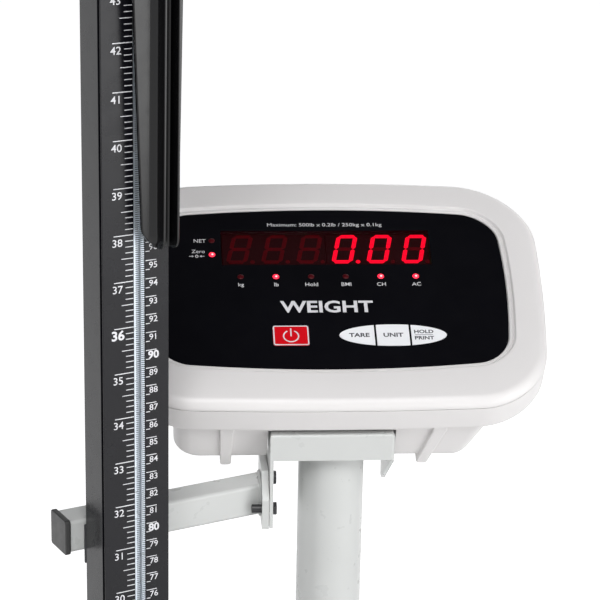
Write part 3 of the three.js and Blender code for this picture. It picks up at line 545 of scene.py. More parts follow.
def make_rear_shell():
    """The rim and the tub below it, hollow, open over the bracket, with door, inlet and vents."""
    seat = above_platform(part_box("head_bracket")[1].z)
    rim_levels = [(2.6, RIM), (1.2, RIM + 0.15), (0.35, RIM + 0.7), (0, RIM + 1.8)]
    rim_levels += [(0, PARTING - 0.7), (0.12, PARTING - SEAM - 0.12), (0.5, PARTING - SEAM)]
    rim = skin([head_ring(inset, height) for inset, height in rim_levels])
    depths = [TUB + rise for rise in (0, 0.3, 0.9, 1.8, 3, 5, TUB_ROUND)] + [RIM + 1]
    tub = skin([tub_ring(depth) for depth in depths])
    rim_hollow = skin([head_ring(WALL, RIM + WALL), head_ring(WALL, 0)])
    tub_hollow = skin([tub_ring(depth, WALL) for depth in (TUB + WALL, -46, -38, RIM + 4)])
    clips = [make_clip(-62, -62), make_clip(60, 52)]
    outside = carve(rim, tub, *clips, operation="UNION")
    outside = carve(outside, in_head(1.2, seat + GAP))
    hollow = carve(carve(rim_hollow, tub_hollow, operation="UNION"), in_head(4, seat + WALL))
    x0, x1, y0, y1 = DOOR
    door = block(x0 - GAP, x1 + GAP, y0 - GAP, y1 + GAP, TUB - 1, TUB + 5)
    hole = INLET_R + GAP
    inlet = moved(turned([(0, -3), (hole, -3), (hole, 6), (0, 6)], 48), *INLET, TUB)
    vents = [block(-30 + 12 * i, -24 + 12 * i, 22, 44, TUB - 1, TUB + 5, 1.0) for i in range(6)]
    shell = carve(outside, hollow, door, inlet, *vents)
    piece("head_rear_shell", shell, HEAD, STAND, "white_plastic", ["rear_shell"], angle=32)
    grips = [block(46, 66, -4 - 2.4 * i, -3 - 2.4 * i, TUB - 0.35, TUB + 0.5, 0.2) for i in range(4)]
    lid = merged(block(*DOOR, TUB, TUB + WALL, 0.4), *grips)
    piece("head_battery_door", lid, HEAD, STAND, "white_plastic", ["battery_door"])


def make_clip(top, foot):
    """A block at the rim with a narrower tongue below it, which may slant."""
    front, deep, corner = -87.2, 9, 0.9
    tongue = ((foot, TUB - 4.4, 2.7), (foot, TUB - 3.9, 3.2), (top, RIM - 4, 3.9))
    head = ((top, RIM - 5, 3.8), (top, RIM - 4.6, 4.2), (top, RIM + 1, 4.2))
    parts = []
    for levels in (tongue, head):
        rings = [
            [(x + u, v, height) for u, v in rounded_rect(-half, half, front, front + deep, corner, 3)]
            for x, height, half in levels
        ]
        parts.append(skin(rings))
    return carve(*parts, operation="UNION")


KEYS = {"power": (-34.6, -13.8), "tare": (3.7, 24.1), "unit": (25.3, 44.3), "hold": (45.5, 66.1)}
POWER_HALF = 7.6
LENS_MIDDLE, LENS_HALF_LENGTH, LENS_HALF_HEIGHT = 34.9, 31.2, 8.1


def lens_half(x):
    """Half the height of the lens that the three grey keys share, at x."""
    share = min(1.0, abs(x - LENS_MIDDLE) / LENS_HALF_LENGTH)
    return max(0.15, LENS_HALF_HEIGHT * (1 - share**2.1) ** 0.52)


def key_outline(name, grow=0.0):
    x0, x1 = KEYS[name]
    x0, x1 = x0 - grow, x1 + grow
    if name == "power":
        half = POWER_HALF + grow
        return rounded_rect(x0, x1, KEY_Y - half, KEY_Y + half, 1.5 + grow, 5)
    steps = 26
    across = [x0 + (x1 - x0) * (1 - math.cos(math.pi * i / steps)) / 2 for i in range(steps + 1)]
    low = [(x, KEY_Y - lens_half(x) - grow) for x in across]
    high = [(x, KEY_Y + lens_half(x) + grow) for x in reversed(across)]
    return low + high


def make_panel():
    film = skin([panel_ring(-0.15, -0.6), panel_ring(0, -0.5), panel_ring(0, -0.1), panel_ring(-0.12, 0)])
    x0, x1, y0, y1 = WINDOW
    film = carve(film, block(x0 - 0.1, x1 + 0.1, y0 - 0.1, y1 + 0.1, -3, 3))
    film = carve(film, *[prism(key_outline(name, 0.25), -3, 3) for name in KEYS])
    piece("panel_film", film, HEAD, STAND, "overlay_black", ["front_overlay"])
    glass = block(x0, x1, y0, y1, -1.6, -0.02, 0.08)
    piece("red_window", glass, HEAD, STAND, "display_red", ["display_window"])


KEY_PRINT, KEY_PRINT_TOP = 0.2, 0.27


def key_rings(name, levels):
    """A key's outline at each level, given as how far it is grown and its height."""
    return [[(x, y, height) for x, y in key_outline(name, grow)] for grow, height in levels]


def make_keys():
    for name in KEYS:
        body = "key_" + name
        slot = "key_red" if name == "power" else "key_grey"
        cap = skin(key_rings(name, ((0, -6.5), (0, 0.12), (-0.12, 0.22))))
        piece(body + "_cap", cap, HEAD, body, slot, [body])
    inner, outer = -0.9, -0.15
    levels = ((inner, KEY_PRINT), (inner, KEY_PRINT_TOP), (outer, KEY_PRINT_TOP), (outer, KEY_PRINT))
    border = skin(key_rings("power", levels), loop=True)
    cx = sum(KEYS["power"]) / 2
    radius, width = 4.3, 0.78
    ring = arc(cx, KEY_Y - 0.55, radius, 118, 422, 30)
    symbol = ribbon(ring, width, KEY_PRINT, KEY_PRINT_TOP)
    stroke = ribbon([(cx, KEY_Y - 0.65), (cx, KEY_Y + 5.3)], width, KEY_PRINT, KEY_PRINT_TOP)
    piece("power_print", merged(border, symbol, stroke), HEAD, "key_power", look="ink")


def left_of(behind, ahead):
    """The unit vector to the left of the way from one point to the next."""
    along = (Vector(ahead) - Vector(behind)).normalized()
    return Vector((-along.y, along.x))


def ribbon(points, width, low, high):
    """A flat stroke of one width along a line, lying between two heights."""
    left, right = [], []
    for here, behind, ahead in zip(points, points[:1] + points, points[1:] + points[-1:]):
        side = left_of(behind, ahead) * width / 2
        left.append(tuple(Vector(here) + side))
        right.append(tuple(Vector(here) - side))
    bm = bmesh.new()
    edges = ((left, low), (right, low), (right, high), (left, high))
    rows = [[bm.verts.new((*point, z)) for point in side] for side, z in edges]
    for a, b in zip(rows, rows[1:] + rows[:1]):
        for i in range(len(points) - 1):
            bm.faces.new((a[i], a[i + 1], b[i + 1], b[i]))
    bm.faces.new([row[0] for row in rows])
    bm.faces.new([row[-1] for row in reversed(rows)])
    return bm


INK = 0.05  # how thick a print stands
CAPITALS = 0.70  # the height of a capital, as a share of the font's size


def lettering(text, height, x, y, low, bold=0.0, align="CENTER", width=1.0):
    """Flat printed letters whose capitals are height tall, centred on y."""
    curve = bpy.data.curves.new("letters", "FONT")
    curve.body = text
    curve.size = height / CAPITALS
    curve.align_x = align
    curve.offset = bold
    curve.extrude = INK / 2
    curve.resolution_u = 3
    obj = bpy.data.objects.new("letters", curve)
    bpy.context.scene.collection.objects.link(obj)
    evaluated = obj.evaluated_get(bpy.context.evaluated_depsgraph_get())
    bm = bmesh.new()
    bm.from_mesh(evaluated.to_mesh())
    evaluated.to_mesh_clear()
    bpy.data.objects.remove(obj)
    bpy.data.curves.remove(curve)
    place = Matrix.Translation((x, y - height / 2, low + INK / 2))
    bm.transform(place @ Matrix.Diagonal((width, 1, 1, 1)))
    return bm


LED_COLUMNS = {"kg": -51.6, "lb": -30.8, "Hold": -10.0, "BMI": 10.5, "CH": 31.3, "AC": 52.1}
LED_ROW, WORD_ROW = 8.8, 2.6
SIDE_LEDS = {"NET": (-67.9, 38.2), "Zero": (-67.9, 26.8)}
LIT = ("lb", "CH", "AC", "Zero")


def make_panel_print():
    words = [lettering("Maximum: 500lb x 0.2lb / 250kg x 0.1kg", 2.7, 0.3, 51.3, 0, width=1.12)]
    words += [lettering(word, 2.8, x, WORD_ROW, 0, bold=0.01) for word, x in LED_COLUMNS.items()]
    words += [lettering("NET", 2.8, -71.3, 38.1, 0, bold=0.02, align="RIGHT")]
    words += [lettering("Zero", 2.7, -72.0, 29.5, 0, align="RIGHT")]
    words += [lettering("WEIGHT", 8.7, -2.0, -15.0, 0, bold=0.3, width=1.12)]
    words += make_zero_arrows(-77.0, 25.5)
    piece("panel_print", merged(*words), HEAD, STAND, look="ink")
    hold_x, half_gap = 52.8, 2.4
    labels = {
        "tare": [lettering("TARE", 2.9, 15.3, KEY_Y, KEY_PRINT, bold=0.12, width=1.2)],
        "unit": [lettering("UNIT", 2.9, LENS_MIDDLE, KEY_Y, KEY_PRINT, bold=0.12, width=1.2)],
        "hold": [
            lettering("HOLD", 2.5, hold_x, KEY_Y + half_gap, KEY_PRINT, bold=0.1, width=1.15),
            lettering("PRINT", 2.5, hold_x, KEY_Y - half_gap, KEY_PRINT, bold=0.1, width=1.15),
            block(hold_x - 5.2, hold_x + 5.2, KEY_Y - 0.2, KEY_Y + 0.1, KEY_PRINT, KEY_PRINT + INK),
        ],
    }
    for name, letters in labels.items():
        piece(name + "_print", merged(*letters), HEAD, "key_" + name, look="dark_ink")


def make_zero_arrows(x, y):
    """The zero sign: a small ring between two arrows that point at it."""
    ring = arc(0, 0, 0.95, 0, 360, 24)
    parts = [ribbon([(x + u * 0.8, y + v) for u, v in ring], 0.45, 0, INK)]
    for side in (-1, 1):
        tip = x + side * 1.7
        tail = x + side * 4.6
        head = tip + side * 1.2
        parts.append(prism([(tip, y), (head, y + 0.9), (head, y - 0.9)][:: -side], 0, INK))
        parts.append(block(min(head, tail), max(head, tail), y - 0.2, y + 0.2, 0, INK))
    return parts


def make_status_leds():
    places = {name: (x, LED_ROW) for name, x in LED_COLUMNS.items()}
    places.update(SIDE_LEDS)
    dome = [(0, -0.3), (1.9, -0.3), (1.9, 0.05), (1.6, 0.3), (1.0, 0.45), (0, 0.5)]
    bright = [(0, 0.35), (0.8, 0.35), (0.7, 0.5), (0, 0.58)]
    for name, (x, y) in places.items():
        look = "led_dot" if name in LIT else "led_dim"
        piece("led_" + name, moved(turned(dome, 32), x, y), HEAD, STAND, "led_module", look=look, angle=60)
        if name in LIT:
            core = moved(turned(bright, 24), x + 0.2, y - 0.1)
            piece("led_core_" + name, core, HEAD, STAND, "led_module", look="led_core", angle=60)


MODULES = (-30.4, 32.5)
DIGIT_PITCH = 20.9
DIGIT_X = [middle + DIGIT_PITCH * i for middle in MODULES for i in (-1, 0, 1)]
DIGIT_Y = 33.0
DIGIT_H = 23.2
DIGIT_W = 12.6
STROKE = 2.5
SLANT = math.tan(math.radians(12))
DOT_R, DOT_AHEAD, DOT_UP = 1.35, 7.4, 1.3
LIGHT_LOW, LIGHT_HIGH = -2.2, -2.08
SEGMENTS = "abcdefg"
ZERO = "abcdef"
FIRST_LIT = 3


def segment(kind, x, y):
    """One bar of a seven-segment digit, a slanted hexagon."""
    half_w = DIGIT_W / 2 - STROKE / 2
    half_h = DIGIT_H / 2 - STROKE / 2
    ends = {
        "a": ((-half_w, half_h), (half_w, half_h)),
        "b": ((half_w, half_h), (half_w, 0)),
        "c": ((half_w, 0), (half_w, -half_h)),
        "d": ((-half_w, -half_h), (half_w, -half_h)),
        "e": ((-half_w, 0), (-half_w, -half_h)),
        "f": ((-half_w, half_h), (-half_w, 0)),
        "g": ((-half_w, 0), (half_w, 0)),
    }[kind]
    start, end = Vector(ends[0]), Vector(ends[1])
    along = (end - start).normalized()
    side = Vector((-along.y, along.x)) * STROKE / 2
    gap = 0.22
    point = STROKE / 2 - gap
    start, end = start + along * gap, end - along * gap
    outline = [
        start,
        start + along * point - side,
        end - along * point - side,
        end,
        end - along * point + side,
        start + along * point + side,
    ]
    return prism([(x + p.x + p.y * SLANT, y + p.y) for p in outline], LIGHT_LOW, LIGHT_HIGH)


def make_digits():
    """Three dark digits and the reading 0.00, with a point after each digit, only one of them lit."""
    for side in ("left", "right"):
        softened("display_digits_" + side, "led_block_" + side, 0.3)
    lit, dark = [], []
    disc = [(0, LIGHT_LOW), (DOT_R, LIGHT_LOW), (DOT_R, LIGHT_HIGH), (0, LIGHT_HIGH)]
    for index, x in enumerate(DIGIT_X):
        on = ZERO if index >= FIRST_LIT else ""
        for kind in SEGMENTS:
            (lit if kind in on else dark).append(segment(kind, x, DIGIT_Y))
        dot = moved(turned(disc, 24), x + DOT_AHEAD, DIGIT_Y - DIGIT_H / 2 + DOT_UP)
        (lit if index == FIRST_LIT else dark).append(dot)
    piece("lit_segments", merged(*lit), HEAD, STAND, "led_module", look="led_lit")
    piece("dark_segments", merged(*dark), HEAD, STAND, "led_module", look="led_off")


def make_head_inside():
    softened("display_board", "led_board", 0.3)
    softened("main_board", "weighing_board", 0.3)
    softened("battery", "battery_pack", 2.0, 3)
    softened("cable_connector", "lead_socket", 0.5)
    socket = [(0, 8), (2.8, 8), (2.8, -1.2), (3.1, -1.5)]
    flange = [(6.9, -1.5), (7.3, -1.1), (7.3, -0.3), (INLET_R, -0.3)]
    inlet = turned(socket + flange + [(INLET_R, 12), (0, 12)])
    pin = turned([(0, 8), (1, 8), (1, -0.4), (0.6, -0.9), (0, -1)], 24)
    inlet = moved(merged(inlet, pin), *INLET, TUB)
    piece("power_inlet", inlet, HEAD, STAND, "black_plastic", ["dc_inlet"])


# ---- the bracket, the column and the arms ----
SHEET = 2.0
BRACKET_FRONT, BRACKET_BACK = -27.0, 23.0
CHEEK_FOOT = 774.2
BOLT_HOLES = ((-22.7, 784.8), (-14, 800.5))


def make_bracket():
    """A bent sheet: a top, a front flange, a deep left cheek for the arm and a slanted right cheek."""
    top = above_platform(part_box("head_bracket")[1].z)
    front, back = BRACKET_FRONT, BRACKET_BACK
    left, right = BRACKET_LEFT, BRACKET_RIGHT
    lip, deep = 16, 45
    plate = block(left, right, front, back, top - SHEET, top)
    flange = block(left, right, front, front + SHEET, top - lip, top)
    cheek = [(front, CHEEK_FOOT), (back, CHEEK_FOOT), (back, top), (front, top)]
    cheek_left = prism(cheek, left, left + SHEET, "YZ")
    slant = [(front, top - lip), (17.5, top - deep), (back, top - deep), (back, top), (front, top)]
    cheek_right = prism(slant, right - SHEET, right, "YZ")
    bracket = carve(plate, flange, cheek_left, cheek_right, operation="UNION")
    bmesh.ops.dissolve_limit(bracket, angle_limit=math.radians(1), verts=bracket.verts, edges=bracket.edges)

    def outer_bend(edge):
        def lies_at(axis, place):
            return all(abs(v.co[axis] - place) < 0.01 for v in edge.verts)

        on_top, on_front = lies_at(2, top), lies_at(1, front)
        on_side = lies_at(0, left) or lies_at(0, right)
        high_up = min(v.co.z for v in edge.verts) > top - 20
        return (on_top and (on_front or on_side)) or (on_front and on_side and high_up)

    round_edges(bracket, 2.6, 4, 40, outer_bend)
    round_edges(bracket, 0.35, 1, 60)
    hole = [(0, -15), (2.9, -15), (2.9, 15), (0, 15)]
    bracket = carve(bracket, *[moved(turned(hole, 24, "X"), left, y, z) for y, z in BOLT_HOLES])
    piece("column_bracket", bracket, COLUMN, STAND, "grey_paint", ["head_bracket"], angle=40)
    for side in ("left", "right"):
        softened("head_screw_" + side, "head_bolt_" + side, 0.4)


def make_column():
    low, high = (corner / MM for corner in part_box("column_tube"))
    middle = box_middle("column_tube") / MM
    outer = (high.x - low.x) / 2
    inner = outer - 1.5
    tube = turned([(outer, low.z), (outer, high.z), (inner, high.z), (inner, low.z)], 96)
    piece("column", moved(tube, middle.x, middle.y), WORLD, STAND, "grey_paint", ["column_tube"])
    softened("column_socket", "socket", 0.8, 3)
    softened("socket_screw", "socket_bolt", 0.5)
    softened("lower_saddle", "saddle", 0.8, 3)


ARM_HALF = 9.5
ARM_MIDDLE = 37.5  # of the arm's depth behind the rod's face
ARM_WALL = 1.5
ARM_LEFT = -26.0
WELD_LEFT = -41.8  # where the arm meets its end plate, from the column's axis


def arm_section(grow, z, radius, steps, start, end):
    """A stretch of square tube along the rod's x, grown all round from the arm's own section."""
    half = ARM_HALF + grow
    outline = rounded_rect(ARM_MIDDLE - half, ARM_MIDDLE + half, z - half, z + half, radius, steps)
    return prism(outline, start, end, "YZ")


def make_arm(level, z):
    far_end = 140.0
    outer = arm_section(0, z, 2.2, 4, ARM_LEFT, far_end)
    inner = arm_section(-ARM_WALL, z, 0.9, 3, ARM_LEFT - 1, far_end + 1)
    beyond = block(WELD_LEFT, 200, -200, 200, z - 20, z + 20)
    beyond.transform(ROD.inverted() @ COLUMN)
    tube = carve(outer, inner, beyond)
    piece(level + "_arm_tube", tube, ROD, STAND, "grey_paint", [level + "_arm"], angle=30)
    lid = arm_section(0.8, z, 1.6, 4, ARM_LEFT - 3.6, ARM_LEFT - 0.3)
    round_edges(lid, 0.6, 3, 60)
    face = arm_section(-2.5, z, 1.2, 4, ARM_LEFT - 3.62, ARM_LEFT - 3.2)
    fit = ARM_HALF - 1.9
    plug = block(ARM_LEFT - 1, ARM_LEFT + 8, ARM_MIDDLE - fit, ARM_MIDDLE + fit, z - fit, z + fit, 0.5)
    piece(level + "_end_cap", merged(lid, face, plug), ROD, STAND, "black_plastic", [level + "_arm_cap"])
    parts = (("clamp_plate", "clamp", 0.4), ("rod_screw", "screw", 0.4), ("end_plate", "flange", 0.5))
    for part, name, width in parts:
        softened(f"{level}_{part}", f"{level}_{name}", width)
    softened(level + "_arm_bolt", level + "_bolt", 0.4, look="dark_steel")
    make_weld(level, z)


def make_weld(level, z):
    """The bead round the arm where it meets its end plate."""
    front, back, half = -17.5, 3.8, ARM_HALF + 0.1
    path = rounded_outline([(front, -half), (back, -half), (back, half), (front, half)], 2.5, 4)
    bead = 1.5
    rings = []
    for index, (y, up) in enumerate(path):
        out = -left_of(path[index - 1], path[(index + 1) % len(path)])
        thick = bead * (1 + 0.12 * math.sin(index * 2.3))
        ring = []
        for degrees in range(0, 360, 45):
            across = thick * math.cos(math.radians(degrees))
            proud = thick * max(0.0, math.sin(math.radians(degrees)))
            ring.append((WELD_LEFT + 0.2 - proud, y + out.x * across, z + up + out.y * across))
        rings.append(ring)
    piece(level + "_weld", skin(rings, loop=True), COLUMN, STAND, "grey_paint", angle=80)


# ---- the height rod and its printed scales ----
ROD_LEFT, ROD_RIGHT, ROD_DEPTH = -18.1, 20.3, 26.0
ROD_WALL = 2.5
GROOVE_FRONT, GROOVE_BACK, GROOVE_DEEP = 0.8, 3.4, 1.4
SLOT_WIDTH, SLOT_DEPTH = 6.4, 8.7
INCH = 25.4


def rod_ends():
    return (above_platform(corner.z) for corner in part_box("height_rod"))


def rod_half(side, inward, slot):
    """Half the rod's outline, from the slot's floor round to the back, with each corner's radius."""
    inside = side + inward * GROOVE_DEEP
    return [
        ((slot, SLOT_DEPTH), 0),
        ((slot, 0), 0.25),
        ((side, 0), 0.35),
        ((side, GROOVE_FRONT), 0.2),
        ((inside, GROOVE_FRONT), 0),
        ((inside, GROOVE_BACK), 0),
        ((side, GROOVE_BACK), 0.2),
        ((side, ROD_DEPTH), 1.0),
    ]


def make_rod():
    """A hollow extrusion with a slot down its face and a fine groove down each side."""
    bottom, top = rod_ends()
    halves = rod_half(ROD_RIGHT, -1, SLOT_WIDTH) + rod_half(ROD_LEFT, 1, 0)[::-1]
    corners, radii = zip(*halves)
    rod = prism(rounded_outline(corners, list(radii), 3), bottom, top)
    left, right = ROD_LEFT + ROD_WALL, ROD_RIGHT - ROD_WALL
    core = block(left, right, SLOT_DEPTH + ROD_WALL, ROD_DEPTH - ROD_WALL, bottom - 1, top + 1)
    piece("rod", carve(rod, core), ROD, STAND, "rod_black", ["height_rod"], angle=30)
    for end in ("top", "bottom"):
        softened("rod_" + end + "_cap", "rod_cap_" + end, 0.8, 3)


def make_rack():
    """The lining of the slot: a smooth bright floor, and fine bright ribs over a dark core."""
    bottom, top = rod_ends()
    back, front, floor = SLOT_DEPTH - GAP, GAP, 2.4
    left, crest, right = 2.0, SLOT_WIDTH - 2.4, SLOT_WIDTH - GAP
    smooth = block(GAP, left, floor, back, bottom + 1, top - 1)

    def step(cut):
        """The lining's section from its floor up to its crest, lowered by cut."""
        low, high, edge = floor + cut, front + cut, crest + cut
        return [(left, low), (edge, low), (edge, high), (right, high), (right, back), (left, back)]

    outline = step(0)
    core = prism(step(0.7), bottom + 1, top - 1)
    pitch, thick = 1.15, 0.5
    count = int((top - bottom - 2) / pitch)
    ribs = [prism(outline, z, z + thick) for z in (bottom + 1.2 + pitch * i for i in range(count))]
    piece("rack", merged(smooth, *ribs), ROD, STAND, "bright_steel", ["rack_strip"], angle=20)
    piece("rack_core", core, ROD, STAND, look="dark_steel", angle=20)


PRINT_RISE = 1.0  # of the printed marks above the heights they stand for
FIRST_INCH, LAST_INCH = 24, 79
FIRST_CM, LAST_CM = 61, 200
MARGIN = 0.35  # between a mark and the slot


def make_marks():
    """Inches in eighths to the left of the slot, and centimetres in halves to its right."""
    marks = []
    for eighth in range(FIRST_INCH * 8, LAST_INCH * 8 + 1):
        length = 11.5 if eighth % 8 == 0 else 7.2 if eighth % 4 == 0 else 4.9
        thick = 0.5 if eighth % 8 == 0 else 0.42
        marks.append((-length, -MARGIN, eighth * INCH / 8 + PRINT_RISE, thick))
    for half in range(FIRST_CM * 2, LAST_CM * 2 + 1):
        length = 6.5 if half % 2 == 0 else 2.7
        marks.append((SLOT_WIDTH + MARGIN, SLOT_WIDTH + length, half * 5 + PRINT_RISE, 0.42))
    sunk = 0.02
    bars = [block(x0, x1, -INK, sunk, z - thick / 2, z + thick / 2) for x0, x1, z, thick in marks]
    piece("scale_marks", merged(*bars), ROD, STAND, look="ink")


def make_numbers():
    """A number at each inch, larger at each foot, and at each centimetre, larger at each tenth one."""
    numbers = []
    for inch in range(FIRST_INCH, LAST_INCH + 1):
        height, bold = (5.1, 0.2) if inch % 12 == 0 else (4.1, 0.02)
        numbers.append((str(inch), height, -9.5, inch * INCH - 2.7, bold))
    for cm in range(FIRST_CM, LAST_CM + 1):
        height, bold = (4.2, 0.18) if cm % 10 == 0 else (3.4, 0.02)
        numbers.append((str(cm), height, 11.2, cm * 10 - 1.6, bold))
    usual, narrow = 1.06, 0.84
    letters = [
        lettering(text, height, x, z, 0, bold, width=usual if len(text) < 3 else narrow)
        for text, height, x, z, bold in numbers
    ]
    bm = merged(*letters)
    bm.transform(Matrix.Rotation(math.pi / 2, 4, "X"))
    piece("scale_numbers", bm, ROD, STAND, look="ink")


# ---- the slider and the headpiece ----
HEADPIECE_LENGTH = 237.5
HEADPIECE_BACK, HEADPIECE_FACE, HEADPIECE_FRONT = -7.5, -10.0, -19.7
HUB_LEFT, HUB_RIGHT, HUB_R = -7.8, 25.6, 7.2
TIP_LEFT, TIP_RIGHT = 0.5, 21.2
TIP_RIBS = (7.8, 15.7)
RIB_LEAN = 0.0075
RIB_WALL = 1.3
FILLET = 4.5
FILLET_STEPS = 6


def rounded_in(rise, radius):
    """How far a corner of one radius draws the edge in, at a height above the corner's end."""
    return radius - math.sqrt(max(0.0, radius**2 - max(0.0, radius - rise) ** 2))


def rib_section(x, front):
    """The front of one rib, whose left face is at x."""
    right = x + RIB_WALL
    return [(x, front + 0.35), (x + 0.3, front), (right - 0.3, front), (right, front + 0.35)]


def headpiece_section(z):
    """The cross-section at one height: a plate, a fillet up to a thin rib, a channel and a second rib."""
    rise = z - (PIVOT_Z - HEADPIECE_LENGTH)
    share = rise / HEADPIECE_LENGTH
    left = TIP_LEFT + (HUB_LEFT - TIP_LEFT) * share + rounded_in(rise, 12)
    right = TIP_RIGHT + (HUB_RIGHT - TIP_RIGHT) * share - rounded_in(rise, 5)
    near_pivot = max(0.0, 1 - (PIVOT_Z - z) / 16)
    front = HEADPIECE_FRONT + rounded_in(rise, 6) + 3.2 * near_pivot**2
    back, face = HEADPIECE_BACK, HEADPIECE_FACE
    channel = face - 0.6
    rib, rib2 = (x + RIB_LEAN * rise for x in TIP_RIBS)
    inner, outer = rib + RIB_WALL, rib2 + RIB_WALL
    left = min(left, rib - 1.2)
    right = max(right, outer + 0.5)
    start = max(left + 0.6, rib - FILLET)
    points = [(left + 0.4, back), (left, back - 0.4), (left, face + 0.5), (left + 0.5, face)]
    for step in range(FILLET_STEPS + 1):
        turn = math.radians(90 * step / FILLET_STEPS)
        deep = FILLET * 0.7 * (1 - math.cos(turn))
        points.append((start + (rib - start) * math.sin(turn), face - deep))
    points += rib_section(rib, front)
    points += [(inner, channel - 1.5), (inner + 0.5, channel - 0.4), (inner + 1.6, channel)]
    points += [(rib2 - 1.6, channel), (rib2 - 0.5, channel - 0.4), (rib2, channel - 1.5)]
    points += rib_section(rib2, front)
    points += [(outer, face - 0.8), (outer + 0.2, face), (right - 0.1, face), (right, face + 0.5)]
    points += [(right, back - 0.4), (right - 0.4, back)]
    return [(x, y, z) for x, y in points]


def make_headpiece():
    """The ribbed arm, closely stepped at its rounded tip, and its hub, bored for the pin."""
    tip = PIVOT_Z - HEADPIECE_LENGTH
    near_tip = [0.05 + 12 * (1 - math.cos(math.pi / 2 * i / 18)) for i in range(19)]
    along = [12 + (HEADPIECE_LENGTH - 28) * i / 12 for i in range(1, 13)]
    near_pivot = [HEADPIECE_LENGTH - 16 + 2 * i for i in range(1, 9)]
    arm = skin([headpiece_section(tip + rise) for rise in near_tip + along + near_pivot])
    soft, bore_r, past = 0.3, 3.1, 5
    hub = [(0, HUB_LEFT), (HUB_R - soft, HUB_LEFT), (HUB_R, HUB_LEFT + soft)]
    hub += [(HUB_R, HUB_RIGHT - soft), (HUB_R - soft, HUB_RIGHT), (0, HUB_RIGHT)]
    start, end = HUB_LEFT - past, HUB_RIGHT + past
    bore = [(0, start), (bore_r, start), (bore_r, end), (0, end)]
    body = carve(arm, moved(turned(hub, 48, "X"), 0, PIVOT.y, PIVOT_Z), operation="UNION")
    body = carve(body, moved(turned(bore, 32, "X"), 0, PIVOT.y, PIVOT_Z))
    piece("headpiece_blade", body, ROD, "headpiece", "headpiece_black", ["headpiece"], angle=38)
    softened("slider_body", "carriage", 1.0, 3, "slider")
    softened("headpiece_pin", "hinge_pin", 0.5, 2, "slider")
    softened("rack_pawl", "pawl", 0.4, 2, "slider")


# ---- the platform, the feet and the wheels ----
MAT_CORNER = 12
MAT_PITCH, MAT_MARGIN, MAT_RIB = 6.0, 7.0, 1.7


def make_platform():
    softened("platform_cover", "pan", 2.5, 4)
    softened("base_plate", "base", 0.8)
    softened("junction_box", "wiring_box", 2.0, 3)
    make_mat()


def make_mat():
    """A rubber sheet with a raised border and fine ribs from front to back."""
    (x0, y0, z0), (x1, y1, z1) = (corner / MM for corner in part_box("platform_mat"))
    skirt = prism(rounded_rect(x0, x1, y0, y1, MAT_CORNER, 10), z0, z1 - 1.0)
    round_edges(skirt, 0.4, 2, 60)
    count = int((x1 - x0 - 2 * MAT_MARGIN) / MAT_PITCH)
    first = (x0 + x1) / 2 - MAT_PITCH * (count - 1) / 2
    front, back = y0 + MAT_MARGIN, y1 - MAT_MARGIN
    ribs = [
        block(x - MAT_RIB, x + MAT_RIB, front, back, z1 - 1.5, z1, 0.45)
        for x in (first + MAT_PITCH * i for i in range(count))
    ]
    levels = ((0.4, -1.5), (0.4, -0.4), (0.9, 0), (4.1, 0), (4.6, -0.4), (4.6, -1.5))
    rings = []
    for inset, rise in levels:
        ends = (x0 + inset, x1 - inset, y0 + inset, y1 - inset)
        rings.append([(x, y, z1 + rise) for x, y in rounded_rect(*ends, MAT_CORNER - inset)])
    border = skin(rings, loop=True)
    piece("mat", merged(skirt, border, *ribs), WORLD, STAND, "mat_rubber", ["platform_mat"])


def make_feet_and_cells():
    pad = [(0, 0), (16.6, 0), (17.2, 0.4), (18.9, 2.2), (19, 5.8), (18.2, 7.2), (14, 9.8), (8.5, 10.4)]
    nut_and_stud = [(8.5, 14), (5, 14), (5, 24.5), (4.5, 25), (0, 25)]
    for place in ("front_left", "front_right", "rear_left", "rear_right"):
        node = "foot_" + place
        middle = box_middle(node) / MM
        foot = moved(turned(pad + nut_and_stud, 48), middle.x, middle.y)
        piece(node + "_pad", foot, WORLD, node, "foot_rubber", [node])
        softened("load_cell_" + place, "cell_" + place, 0.5)


def make_wheels():
    """A hub, a web and a rounded tread, the same from both sides."""
    softened("wheel_axle", "axle", 0.6)
    wide = 24
    near = [(4.3, 0), (9, 0), (9.5, 1.6), (18.5, 1.6), (19, 0.2), (22, 0.2), (24.2, 1.4), (25, 4)]
    profile = near + [(r, wide - x) for r, x in reversed(near)]
    for side in ("left", "right"):
        node = "wheel_" + side
        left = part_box(node)[0].x / MM
        middle = box_middle(node) / MM
        wheel = moved(turned(profile, 64, "X"), left, middle.y, middle.z)
        piece(node + "_tyre", wheel, WORLD, node, "wheel_rubber", [node])


def make_cable():
    node = frame["nodes"]["signal_cable"]
    bm = bmesh.new()
    bm.from_mesh(node.data)
    bmesh.ops.remove_doubles(bm, verts=bm.verts, dist=1e-6)
    piece("signal_lead", bm, Matrix.Identity(4), STAND, "cable_jacket", ["signal_cable"], angle=60)


# ---- the stage, in metres ----
FLOOR_HALF, WALL_HEIGHT = 15, 14


def make_backdrop():
    """A white wall round the floor, which only the camera sees, so it puts no light on the object."""
    bm = bmesh.new()
    radius = FLOOR_HALF - 0.1
    middle = Matrix.Translation((0, 0, WALL_HEIGHT / 2))
    bmesh.ops.create_cone(
        bm, segments=96, radius1=radius, radius2=radius, depth=WALL_HEIGHT, matrix=middle
    )
    wall = object_of("backdrop", bm)
    nodes = Nodes("white_wall")
    nodes.set(Base_Color=(0, 0, 0, 1), Emission_Color=(1, 1, 1, 1), Emission_Strength=1.1)
    wall.data.materials.append(nodes.material)
    wall.visible_diffuse = False
    wall.visible_glossy = False
    wall.visible_transmission = False
    wall.visible_shadow = False


